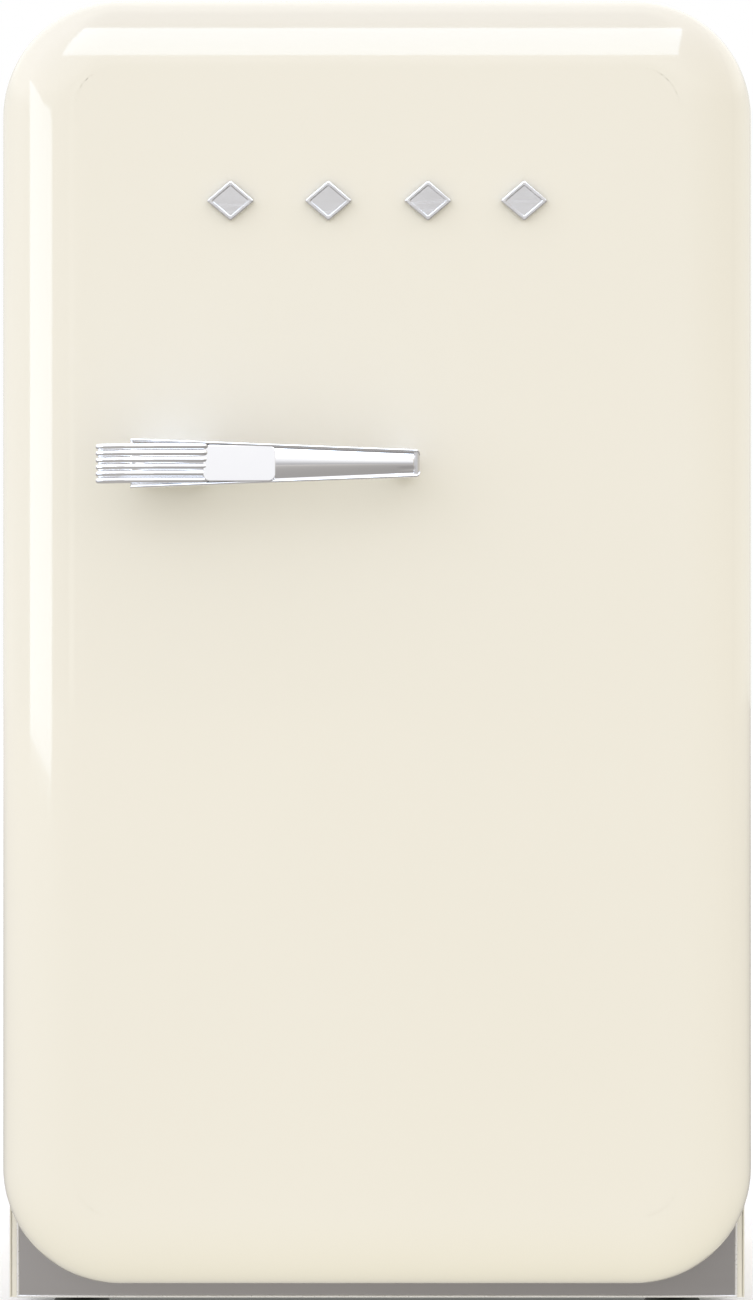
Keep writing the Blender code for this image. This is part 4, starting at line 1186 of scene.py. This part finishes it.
# ---------------------------------------------------------------- cabinet
@dataclass
class CabinetBody:
    """The cabinet: wrapper, front frame, foam, liner, base, plinth and back panel."""

    shop: Workshop
    corner: float = 0.063
    wall: float = 0.001
    hem: float = 0.0014
    step_back: float = 0.0006
    bead_radius: float = 0.0009
    bead_count: int = 9
    bead_rise: tuple[float, float] = (0.075, 0.040)
    bead_ends: tuple[float, float] = (0.075, 0.055)
    bead_sink: float = 0.0002
    corner_steps: int = 40

    def build_shell(self) -> Object:
        """Builds the painted wrapper as one sheet over both sides and the top."""
        low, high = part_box("cabinet_shell")
        steps = self.corner_steps
        outline = rounded_rectangle((low.x, low.z), (high.x, high.z), (0.0001, self.corner), steps)
        path = outline[steps:-steps]
        path = [(high.x, low.z)] + [p for p in path if p[1] > low.z + 0.01] + [(low.x, low.z)]
        solid = bmesh.new()
        stations = [low.y + (high.y - low.y) * step / 6 for step in range(7)]
        rows = [[solid.verts.new((x, y, z)) for x, z in path] for y in stations]
        for here, there in zip(rows, rows[1:]):
            for index in range(len(path) - 1):
                solid.faces.new((here[index], there[index], there[index + 1], here[index + 1]))
        solid.normal_update()
        top = max(solid.faces, key=lambda face: face.calc_center_median().z)
        if top.normal.z < 0:
            bmesh.ops.reverse_faces(solid, faces=solid.faces)
        shell = from_bmesh(solid, "cabinet_wrapper")
        add_thickness(shell, self.wall)
        shade(shell, 50.0)
        return self.shop.fit(shell, ["cabinet_shell"])

    def build_plinth(self) -> Object:
        """Builds the plinth plate, a little behind the front of its hem."""
        low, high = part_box("plinth_panel")
        outline = [(low.x, low.z), (high.x, low.z), (high.x, high.z), (low.x, high.z)]
        plate = prism("plinth_plate", outline, Axis.Y, (low.y + self.step_back, high.y))
        add_bevel(plate, 0.0002)
        shade(plate, 35.0)
        return self.shop.fit(plate, ["plinth_panel"])

    def build_hem(self) -> Object:
        """Builds the round hem folded along the plinth's lower edge and both its ends. Its pale, partly matt
        finish paints the bright highlight line that a polished fold shows.
        """
        low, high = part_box("plinth_panel")
        radius = self.hem / 2
        rear = low.y + self.step_back + 0.0002
        turns = [math.pi * step / 10 for step in range(11)]
        bow = [(low.y + radius * (1 - math.sin(turn)), radius * (1 - math.cos(turn))) for turn in turns]
        pieces = []
        for word, start in (("left", low.x), ("right", high.x - self.hem)):
            outline = [(start + across, y) for y, across in bow]
            outline += [(start + self.hem, rear), (start, rear)]
            pieces.append(prism(f"hem_{word}", outline, Axis.Z, (low.z, high.z)))
        outline = [(y, low.z + across) for y, across in bow]
        outline += [(rear, low.z + self.hem), (rear, low.z)]
        pieces.append(prism("hem_low", outline, Axis.X, (low.x, high.x)))
        hem = merge(pieces, "plinth_hem")
        shade(hem, 50.0)
        hem = self.shop.fit(hem, [], "satin_chrome", "cabinet")
        # The pale, partly matt edge_trim finish paints the fold's highlight, so the hem shows as a bright
        # line under any light.
        hem.data.materials.clear()
        hem.data.materials.append(self.shop.materials["edge_trim"])
        return hem

    def build_beads(self) -> Object:
        """Builds the stiffening beads rolled into the back panel, in a row up its middle."""
        low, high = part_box("back_panel")
        first, last = low.z + self.bead_rise[0], high.z - self.bead_rise[1]
        ends = (low.x + self.bead_ends[0], high.x - self.bead_ends[1])
        beads = wire("back_panel_beads", [(x, high.y - self.bead_sink, first) for x in ends])
        self.shop.ridges.apply(
            beads,
            Count=self.bead_count,
            Step=(0.0, 0.0, (last - first) / (self.bead_count - 1)),
            Radius=self.bead_radius,
            Material=self.shop.materials["zinc_plate"],
        )
        return self.shop.fit(beads, [], "zinc_plate", "cabinet")

    def build(self) -> None:
        """Builds every piece of the cabinet."""
        self.build_shell()
        self.build_plinth()
        self.build_hem()
        self.build_beads()
        self.shop.refine("front_frame", 0.0003, angle=30.0)
        self.shop.refine("inner_liner", 0.0005, 2, 40.0)
        self.shop.refine("cabinet_foam", 0.0, angle=40.0)
        self.shop.refine("base_pan", 0.0004)
        self.shop.refine("back_panel", 0.0002)


@dataclass
class Fasteners:
    """The screws, each a pan head with a cross recess, set by a node tree."""

    shop: Workshop
    head_radius: float = 0.0034
    head_height: float = 0.0016
    cross_reach: float = 0.0019
    cross_half: float = 0.00045
    back_rows: int = 5
    back_rise: tuple[float, float] = (0.020, 0.065)
    back_top: tuple[float, float, float] = (-0.09, 0.0, 0.09)
    back_inset: float = 0.0075
    bracket_places: tuple[float, float, float] = (0.008, 0.024, 0.036)
    bracket_edge: float = 0.0048
    bracket_step: float = 0.0025
    box_inset: float = 0.009
    housing_inset: float = 0.006
    seed: int = 7

    def build_template(self) -> Object:
        """Builds one screw head that looks along +Z from the origin."""
        radius, height = self.head_radius, self.head_height
        profile = [(0.0, 0.0), (radius, 0.0), (radius, height * 0.35)]
        profile += [(radius * math.cos(a), height * (0.35 + 0.65 * math.sin(a))) for a in (0.5, 0.9, 1.25)]
        profile.append((0.0, height))
        head = turned("screw_template", profile, (0.0, 0.0, 0.0), Axis.Z, Quality.SMALL)
        reach, half = self.cross_reach, self.cross_half
        for index, (x, y) in enumerate(((reach, half), (half, reach))):
            outline = [(-x, -y), (x, -y), (x, y), (-x, y)]
            slot = prism(f"recess_{index}", outline, Axis.Z, (height * 0.45, height * 2))
            dig = head.modifiers.new("recess", "BOOLEAN")
            dig.object = slot
            dig.operation = "DIFFERENCE"
            dig.solver = "EXACT"
            settle(head)
            bpy.data.objects.remove(slot)
        shade(head, 30.0)
        return head

    def scatter(self, name: str, template: Object, points: Sequence[Point], turn: Point) -> Object:
        """Sets a screw on every point.

        Args:
            name: The new piece's name.
            template: The screw head.
            points: Where the heads sit.
            turn: The heads' rotation, as Euler angles.

        Returns:
            The fitted group of screws.
        """
        screws = wire(name, points, joined=False)
        self.shop.scatter.apply(
            screws,
            Template=template,
            Turn=turn,
            Twist=math.pi / 2,
            Seed=self.seed,
            Material=self.shop.materials["zinc_plate"],
        )
        return self.shop.fit(screws, [], "zinc_plate", "cabinet")

    def build(self) -> None:
        """Sets the screws of the hinge brackets, the back panel, the junction box and the housing."""
        template = self.build_template()
        forwards, backwards = (math.pi / 2, 0.0, 0.0), (-math.pi / 2, 0.0, 0.0)
        down = (math.pi, 0.0, 0.0)
        points = []
        for word in ("top", "bottom"):
            low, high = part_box(f"hinge_bracket_{word}")
            height = high.z - self.bracket_edge if word == "top" else low.z + self.bracket_edge
            face = high.y - self.bracket_step
            points += [(low.x + along, face, height) for along in self.bracket_places]
        self.scatter("hinge_screws", template, points, forwards)
        low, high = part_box("back_panel")
        inset = self.back_inset
        first, last = low.z + self.back_rise[0], high.z - self.back_rise[1]
        points = []
        for step in range(self.back_rows):
            height = first + (last - first) * step / (self.back_rows - 1)
            points += [(low.x + inset, high.y, height), (high.x - inset, high.y, height)]
        points += [(x, high.y, high.z - inset) for x in self.back_top]
        self.scatter("back_panel_screws", template, points, backwards)
        low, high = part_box("junction_box")
        inset = self.box_inset
        points = [((low.x + high.x) / 2, high.y, z) for z in (low.z + inset, high.z - inset)]
        self.scatter("junction_box_screws", template, points, backwards)
        low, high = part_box("control_housing")
        inset = self.housing_inset
        points = [(x, high.y - inset, low.z) for x in (low.x + inset, high.x - inset)]
        self.scatter("housing_screws", template, points, down)
        bpy.data.objects.remove(template)


@dataclass
class Hinges:
    """The brackets, pins and bushes at the door's two right corners."""

    shop: Workshop

    def build(self) -> None:
        """Refines the pieces of both hinges."""
        for word in ("top", "bottom"):
            self.shop.refine(f"hinge_bracket_{word}", 0.0004)
            self.shop.refine(f"hinge_pin_{word}", 0.0004)
            self.shop.refine(f"hinge_bush_{word}", 0.0003)


# ---------------------------------------------------------------- inside
@dataclass
class Interior:
    """Shelves, racks, evaporator, tray and controls."""

    shop: Workshop
    fin_count: int = 11
    fin_thickness: float = 0.0016
    fin_inset: float = 0.001
    fin_corner: float = 0.004
    plate_depth: float = 0.005
    plate_corner: float = 0.003
    pointer_half: float = 0.0009
    pointer_rise: float = 0.0015
    flutes: int = 24

    def build_shelves(self) -> None:
        """Refines the glass shelves and their chrome trims."""
        for word in ("upper", "lower"):
            self.shop.refine(f"shelf_glass_{word}", 0.0006, 3)
            self.shop.refine(f"shelf_trim_{word}", 0.0009, 3)

    def build_racks(self) -> None:
        """Refines the door racks and their guard rails."""
        for word in ("upper", "lower"):
            self.shop.refine(f"door_rack_{word}", 0.0006, 3)
            self.shop.round_tube(f"rack_rail_{word}")

    def build_evaporator(self) -> Object:
        """Builds the evaporator: a back plate and a row of upright fins."""
        low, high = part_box("evaporator_fins")
        face = high.y - self.plate_depth
        outline = rounded_rectangle((low.x, low.z), (high.x, high.z), (self.plate_corner,) * 2, 4)
        plate = prism("evaporator_plate", outline, Axis.Y, (face, high.y))
        add_bevel(plate, 0.0004)
        settle(plate)
        near, far = (low.y, low.z + self.fin_inset), (face + 0.0005, high.z - self.fin_inset)
        profile = rounded_rectangle(near, far, (self.fin_corner,) * 2, 4)
        fin = prism("evaporator_fin", profile, Axis.X, (0.0, self.fin_thickness))
        add_bevel(fin, 0.0003, 1)
        settle(fin)
        width = high.x - low.x - self.fin_thickness - 2 * self.fin_inset
        pitch = width / (self.fin_count - 1)
        fin.data.transform(Matrix.Translation((low.x + self.fin_inset, 0.0, 0.0)))
        self.shop.row.apply(
            fin, Count=self.fin_count, Step=(pitch, 0.0, 0.0), Material=self.shop.materials["aluminium"]
        )
        block = merge([plate, fin], "evaporator_finned")
        shade(block, 30.0)
        return self.shop.fit(block, ["evaporator_fins"])

    def build_knob(self) -> Object:
        """Builds the thermostat knob: a fluted skirt, a domed cap and a raised pointer."""
        low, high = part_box("thermostat_knob")
        middle_x = (low.x + high.x) / 2
        radius = (high.x - low.x) / 2
        middle_z = high.z - radius
        front = low.y + self.pointer_rise
        stations = (
            (1.00, high.y), (1.00, high.y - 0.0018), (0.94, high.y - 0.0024), (0.90, front + 0.0022),
            (0.86, front + 0.0008), (0.78, front + 0.0001), (0.70, front), (0.55, front + 0.0004),
            (0.15, front + 0.0006),
        )  # fmt: skip
        middle = (middle_x, middle_z)
        knob = fluted("knob_body", stations, middle, Axis.Y, radius, self.flutes, range(2, 5), 6)
        near = (middle_x - self.pointer_half, middle_z + 0.001)
        far = (middle_x + self.pointer_half, middle_z + radius * 0.80)
        outline = rounded_rectangle(near, far, (0.0008, 0.0008), 4)
        pointer = prism("knob_pointer", outline, Axis.Y, (low.y, front + 0.001))
        add_bevel(pointer, 0.0002)
        whole = merge([knob, pointer], "thermostat_knob_fluted")
        shade(whole, 30.0)
        return self.shop.fit(whole, ["thermostat_knob"])

    def build(self) -> None:
        """Builds every piece inside the compartment."""
        self.build_shelves()
        self.build_racks()
        self.build_evaporator()
        self.build_knob()
        self.shop.refine("drip_tray", 0.0005)
        self.shop.refine("control_housing", 0.0008, 3, 25.0)
        self.shop.refine("lamp_lens", 0.0005, 2, 25.0)
        self.shop.round_tube("drain_tube")


# ---------------------------------------------------------------- cooling unit
@dataclass
class CoolingUnit:
    """The sealed absorption unit behind the back panel, and what hangs on it."""

    shop: Workshop
    fin_count: int = 9
    fin_thickness: float = 0.0012
    tube_radius: float = 0.007
    end_gap: float = 0.015
    fin_corner: float = 0.005
    seam: float = 0.0012
    seam_place: float = 0.010

    def build_condenser(self) -> Object:
        """Builds the finned tube at the unit's top, each fin with a collar round the tube."""
        low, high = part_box("condenser")
        middle = ((low.y + high.y) / 2, (low.z + high.z) / 2)
        centre = (0.0, *middle)
        bore = self.tube_radius
        profile = [(0.0, low.x), (bore, low.x), (bore, high.x), (0.0, high.x)]
        tube = turned("condenser_tube", profile, centre, Axis.X, Quality.LARGE)
        half = (high.z - low.z) / 2
        near, far = (middle[0] - half, middle[1] - half), (middle[0] + half, middle[1] + half)
        first = low.x + self.end_gap - self.fin_thickness / 2
        outline = rounded_rectangle(near, far, (self.fin_corner,) * 2, 5)
        sheet = prism("condenser_sheet", outline, Axis.X, (first, first + self.fin_thickness))
        add_bevel(sheet, 0.0003, 1)
        inner, outer = bore - 0.001, bore + 0.0016
        profile = [(inner, 0.0), (outer + 0.001, 0.0), (outer, 0.0012), (outer, 0.0045), (inner, 0.0050)]
        place = (first + self.fin_thickness - 0.0002, *middle)
        collar = turned("condenser_collar", profile, place, Axis.X, Quality.MIDDLE)
        fin = merge([sheet, collar], "condenser_fin")
        pitch = (high.x - low.x - 2 * self.end_gap) / (self.fin_count - 1)
        self.shop.row.apply(
            fin, Count=self.fin_count, Step=(pitch, 0.0, 0.0), Material=self.shop.materials["unit_black"]
        )
        whole = merge([tube, fin], "condenser_finned")
        shade(whole, 35.0)
        return self.shop.fit(whole, ["condenser"])

    def build_boiler(self) -> Object:
        """Builds the boiler's insulated can with rolled seams near its ends."""
        low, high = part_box("boiler_can")
        radius = (high.x - low.x) / 2
        centre = ((low.x + high.x) / 2, (low.y + high.y) / 2, 0.0)
        body = radius - self.seam
        profile: Outline = [(0.0, low.z + 0.001), (body - 0.004, low.z), (body - 0.001, low.z + 0.0012)]
        for middle in (low.z + self.seam_place, high.z - self.seam_place):
            profile.append((body, middle - 0.004))
            for turn in range(7):
                angle = math.pi * turn / 6
                profile.append((body + self.seam * math.sin(angle), middle - 0.002 * math.cos(angle)))
            profile.append((body, middle + 0.004))
        profile += [(body - 0.001, high.z - 0.0012), (body - 0.004, high.z), (0.0, high.z - 0.001)]
        can = turned("boiler_can_seamed", profile, centre, Axis.Z, Quality.FINEST)
        shade(can, 40.0)
        return self.shop.fit(can, ["boiler_can"])

    def build(self) -> None:
        """Builds every piece of the unit."""
        self.build_condenser()
        self.build_boiler()
        for name in ("absorber_coil", "ammonia_line", "heat_exchanger", "pump_tube", "solution_line"):
            self.shop.round_tube(name)
        self.shop.refine("absorber_vessel", 0.0012, 3, 30.0)
        self.shop.refine("evaporation_pan", 0.0004)
        self.shop.refine("junction_box", 0.0006, 3, 25.0)
        self.shop.refine("mains_inlet", 0.0003)
        for word in ("upper", "lower"):
            self.shop.refine(f"unit_bracket_{word}", 0.0003)
        for word in ("left", "right"):
            self.shop.refine(f"wall_spacer_{word}", 0.0008, 3)


@dataclass
class Feet:
    """Two levelling feet in front and two fixed ones at the back."""

    shop: Workshop
    grips: int = 20
    stem: float = 0.0048
    thread_steps: int = 46
    thread_depth: float = 0.0006
    thread_pitch: float = 0.0010
    thread_start: float = 0.0100

    def build_front(self, word: str) -> Object:
        """Builds one levelling foot: a threaded stem over a tread with finger grips.

        Args:
            word: Which side it stands on.

        Returns:
            The fitted foot.
        """
        name = f"front_foot_{word}"
        low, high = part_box(name)
        middle = ((low.x + high.x) / 2, (low.y + high.y) / 2)
        radius = (high.x - low.x) / 2
        stations = [(0.90, low.z), (0.98, low.z + 0.0006), (1.0, low.z + 0.0016), (1.0, low.z + 0.0060)]
        stations += [(0.94, low.z + 0.0074), (0.80, low.z + 0.0080), (0.36, low.z + 0.0092)]
        start = low.z + self.thread_start
        for step in range(self.thread_steps):
            size = self.stem - self.thread_depth * (step % 2)
            stations.append((size / radius, start + self.thread_pitch / 2 * step))
        full = f"{name}_threaded"
        foot = fluted(full, stations, middle, Axis.Z, radius, self.grips, range(2, 4), 4)
        shade(foot, 40.0)
        return self.shop.fit(foot, [name])

    def build(self) -> None:
        """Builds all four feet."""
        for word in ("left", "right"):
            self.build_front(word)
            self.shop.refine(f"rear_foot_{word}", 0.001, 3)


# ---------------------------------------------------------------- studio
@dataclass(frozen=True)
class Sky:
    """The surroundings' colours by direction: level, above, far right and behind the object.

    The colour overhead is reached at a height of reach, from 0 to 1. From there up the strength is
    multiplied by crest, and straight up by zenith as well.
    """

    level: Colour
    above: Colour
    right: Colour
    behind: Colour = (1.0, 1.0, 1.0)
    behind_share: float = 0.0
    strength: float = 1.0
    reach: float = 0.22
    crest: float = 1.0
    zenith: float = 1.0


@dataclass
class Studio:
    """The camera, the soft lights, the white surroundings and a plain pale floor."""

    bounds: tuple[Vector, Vector]
    distance: float = 1.92
    sensor: float = 36.0
    lens: float = 98.2
    eye_height: float = 0.3699
    top_light: float = 0.7
    top_shine: float = 4.8
    side_light: float = 1.5
    side_shine: float = 4.2
    strip_shine: float = 1.3
    lit_sky: Sky = Sky((0.79, 0.78, 0.80), (1.0, 1.0, 1.06), (0.80, 0.77, 0.73), strength=1.40, reach=0.6)
    seen_sky: Sky = Sky(
        (0.52, 0.515, 0.52),
        (1.16, 1.16, 1.17),
        (0.66, 0.62, 0.54),
        behind=(0.86, 0.85, 0.80),
        behind_share=1.0,
        crest=1.40,
        zenith=0.62,
    )
    bounce: float = 1.12
    mirror_tint: Colour = (0.73, 0.84, 1.0)
    panel_gap: float = 1.0
    strip_distance: float = 3.0
    strip_span: tuple[float, float] = (-0.82, -0.52)
    strip_rise: tuple[float, float] = (0.30, 2.0)
    floor_reach: float = 20.0
    floor_colour: Colour = (0.95, 0.945, 0.94)
    floor_grey: Colour = (0.40, 0.385, 0.37)
    floor_glow: Colour = (1.0, 0.975, 0.87)
    top_outline: tuple[tuple[float, float], ...] = (
        (-0.554, -0.122), (-0.442, -0.241), (-0.330, -0.312), (-0.228, -0.341), (0.236, -0.339),
        (0.341, -0.307), (0.453, -0.233), (0.586, -0.078), (0.695, 0.121), (0.852, -1.135),
        (0.728, -1.368), (0.580, -1.648), (0.440, -1.877), (0.311, -1.978), (-0.306, -1.978),
        (-0.426, -1.890), (-0.566, -1.671), (-0.713, -1.392), (-0.821, -1.189), (-0.947, -0.953),
        (-1.073, -0.705),
    )  # fmt: skip
    side_outline: tuple[tuple[float, float], ...] = (
        (-0.279, 0.300), (-1.250, 0.243), (-1.321, 0.281), (-1.319, 0.904), (-0.893, 0.900),
        (-0.497, 1.050), (-0.081, 1.176), (-0.040, 1.173), (-0.168, 1.050), (-0.245, 0.929),
        (-0.277, 0.827),
    )  # fmt: skip

    def build_camera(self) -> None:
        """Sets the camera straight in front of the door, half way up."""
        camera = bpy.data.cameras.new("camera")
        camera.sensor_width = self.sensor
        camera.lens = self.lens
        camera.clip_start, camera.clip_end = 0.05, 60.0
        made = bpy.data.objects.new("camera", camera)
        bpy.context.scene.collection.objects.link(made)
        skin_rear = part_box("door_skin")[1].y
        made.location = (-0.0003, skin_rear - self.distance, self.eye_height)
        made.rotation_euler = (math.pi / 2, 0.0, 0.0)
        bpy.context.scene.camera = made

    def panel(
        self, name: str, corners: Sequence[Point], radiance: float, tint: Colour, mirrored: bool
    ) -> Object:
        """Builds a flat light panel that the camera doesn't see.

        Args:
            name: The panel's name.
            corners: Its corners in order.
            radiance: How bright its surface is.
            tint: Its colour.
            mirrored: Whether it shows in reflections only; otherwise it only lights matt surfaces.

        Returns:
            The new object.
        """
        mesh = bpy.data.meshes.new(name)
        mesh.from_pydata([tuple(corner) for corner in corners], [], [tuple(range(len(corners)))])
        made = new_object(name, mesh)
        material = bpy.data.materials.new(name)
        material.use_nodes = True
        tree = material.node_tree
        tree.nodes.clear()
        light = shader_node(tree, "Emission", Color=(*tint, 1.0), Strength=radiance)
        out = tree.nodes.new("ShaderNodeOutputMaterial")
        tree.links.new(light.outputs[0], out.inputs["Surface"])
        mesh.materials.append(material)
        made.visible_camera = False
        made.visible_shadow = False
        made.visible_glossy = mirrored
        made.visible_diffuse = not mirrored
        made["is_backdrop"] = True
        return made

    def build_lights(self) -> None:
        """Places the panels overhead and on the left for the two sharp highlights, and a strip behind."""
        top = self.bounds[1].z
        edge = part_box("door_skin")[1].y
        height = top + self.panel_gap
        overhead = [(x, edge + y, height) for x, y in self.top_outline]
        side = self.bounds[0].x - self.panel_gap
        upright = [(side, edge + y, z) for y, z in self.side_outline]
        behind = edge - self.strip_distance
        (left, right), (bottom, head) = self.strip_span, self.strip_rise
        strip = [(x, behind, z) for x, z in ((left, bottom), (right, bottom), (right, head), (left, head))]
        self.panel("strip_mirror", strip, self.strip_shine, WHITE, True)
        self.panel("overhead_mirror", overhead, self.top_shine, self.mirror_tint, True)
        self.panel("overhead_light", overhead, self.top_light, (1.0, 0.99, 0.97), False)
        self.panel("side_mirror", upright, self.side_shine, self.mirror_tint, True)
        self.panel("side_light", upright, self.side_light, (0.98, 0.99, 1.0), False)

    def build_world(self) -> None:
        """Makes the surroundings: white to the eye, and a soft light that fades towards the horizon."""
        scene = bpy.context.scene
        world = bpy.data.worlds.new("surroundings")
        scene.world = world
        world.use_nodes = True
        tree = world.node_tree
        tree.nodes.clear()
        place = shader_node(tree, "TexCoord")
        split = shader_node(tree, "SeparateXYZ", i0=place.outputs["Generated"])
        rays = shader_node(tree, "LightPath")
        lit = self.surroundings(tree, split, self.lit_sky)
        seen = self.surroundings(tree, split, self.seen_sky)
        light = shader_node(tree, "MixShader", i0=rays.outputs["Is Glossy Ray"], i1=lit, i2=seen)
        plain = shader_node(tree, "Background", Color=(*WHITE, 1.0), Strength=1.0)
        to_eye = rays.outputs["Is Camera Ray"]
        pick = shader_node(tree, "MixShader", i0=to_eye, i1=light.outputs[0], i2=plain.outputs[0])
        out = tree.nodes.new("ShaderNodeOutputWorld")
        tree.links.new(pick.outputs[0], out.inputs["Surface"])
        scene.view_settings.view_transform = "Standard"

    @staticmethod
    def surroundings(tree: bpy.types.NodeTree, split: bpy.types.Node, sky: Sky) -> Socket:
        """Adds a background that changes with direction.

        Args:
            tree: The world's node tree.
            split: The node that gives the direction's three parts.
            sky: The colours and where they change.

        Returns:
            The background's shader socket.
        """
        right, back, up = split.outputs["X"], split.outputs["Y"], split.outputs["Z"]
        layers = (
            (ramp(tree, up, (0.0, sky.reach)), sky.above),
            (ramp(tree, right, (0.2, 0.9)), sky.right),
            (ramp(tree, back, (0.1, 0.5), (0.0, sky.behind_share)), sky.behind),
        )
        colour: Socket | tuple[float, ...] = (*sky.level, 1.0)
        for share, tint in layers:
            mixed = shader_node(tree, "Mix", {"data_type": "RGBA"}, i0=share, i6=colour, i7=(*tint, 1.0))
            colour = mixed.outputs[2]
        crest = ramp(tree, up, (0.25, 0.34), (1.0, sky.crest))
        zenith = ramp(tree, up, (0.90, 0.97), (1.0, sky.zenith))
        power = product(tree, product(tree, crest, zenith), sky.strength)
        made = shader_node(tree, "Background", Color=colour, Strength=power)
        return made.outputs[0]

    def build_floor(self) -> None:
        """Lays a wide pale floor, greyer in mirrors than to the eye, that glows on matt surfaces."""
        size = self.floor_reach
        corners = [(-size, -size, 0), (size, -size, 0), (size, size, 0), (-size, size, 0)]
        mesh = bpy.data.meshes.new("floor")
        mesh.from_pydata(corners, [], [(0, 1, 2, 3)])
        floor = new_object("floor", mesh)
        material = bpy.data.materials.new("floor")
        material.use_nodes = True
        tree = material.node_tree
        shader = tree.nodes["Principled BSDF"]
        shader.inputs["Base Color"].default_value = (*self.floor_colour, 1.0)
        shader.inputs["Roughness"].default_value = 0.7
        place = shader_node(tree, "TexCoord")
        away = shader_node(tree, "VectorMath", {"operation": "LENGTH"}, i0=place.outputs["Object"])
        fade = ramp(tree, away.outputs["Value"], (1.0, 9.0), (1.0, 1.55))
        split = shader_node(tree, "SeparateXYZ", i0=place.outputs["Object"])
        across = ramp(tree, split.outputs["X"], (-0.3, 0.3), (1.26, 0.90))
        dim = product(tree, fade, across)
        grey = shader_node(tree, "Emission", Color=(*self.floor_grey, 1.0), Strength=dim)
        rays = shader_node(tree, "LightPath")
        glow = shader_node(tree, "Emission", Color=(*self.floor_glow, 1.0), Strength=self.bounce)
        to_matt, to_mirror = rays.outputs["Is Diffuse Ray"], rays.outputs["Is Glossy Ray"]
        lit = shader_node(tree, "MixShader", i0=to_matt, i1=shader.outputs[0], i2=glow.outputs[0])
        pick = shader_node(tree, "MixShader", i0=to_mirror, i1=lit.outputs[0], i2=grey.outputs[0])
        tree.links.new(pick.outputs[0], tree.nodes["Material Output"].inputs["Surface"])
        mesh.materials.append(material)
        floor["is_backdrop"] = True

    def build(self) -> None:
        """Builds the whole studio."""
        self.build_camera()
        self.build_lights()
        self.build_world()
        self.build_floor()


# ---------------------------------------------------------------- assembly
def dress_the_rest(shop: Workshop) -> list[str]:
    """Gives every frame node that still shows its finish.

    Args:
        shop: The shared workshop.

    Returns:
        The names of the nodes that were dressed.
    """
    left = sorted(set(shop.frame["nodes"]) - shop.stood_for)
    for name in left:
        mesh = shop.node(name).data
        mesh.materials.clear()
        mesh.materials.append(shop.materials[shop.slot_of[name]])
    return left


def plain(bounds: tuple[Vector, Vector]) -> list[list[float]]:
    """The corners of a box as plain lists."""
    return [list(corner) for corner in bounds]


def main() -> None:
    """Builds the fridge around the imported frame, then its studio."""
    logging.basicConfig(level=logging.INFO, format="%(name)s: %(message)s")
    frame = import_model()
    frame_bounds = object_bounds()
    shop = Workshop(frame)
    assemblies = (
        DoorShell(shop), PullHandle(shop), Ornaments(shop), CabinetBody(shop), Hinges(shop),
        Interior(shop), CoolingUnit(shop), Feet(shop), Fasteners(shop),
    )  # fmt: skip
    for assembly in assemblies:
        before = {piece.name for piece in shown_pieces()}
        assembly.build()
        made = sorted(piece.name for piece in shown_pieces() if piece.name not in before)
        LOG.info("%s: %s", type(assembly).__name__, ", ".join(made))
    LOG.info("frame nodes kept as they are: %s", ", ".join(dress_the_rest(shop)) or "none")
    Studio(frame_bounds).build()
    sizes = {"frame": plain(frame_bounds), "visual": plain(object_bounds())}


if __name__ == "__main__":
    main()
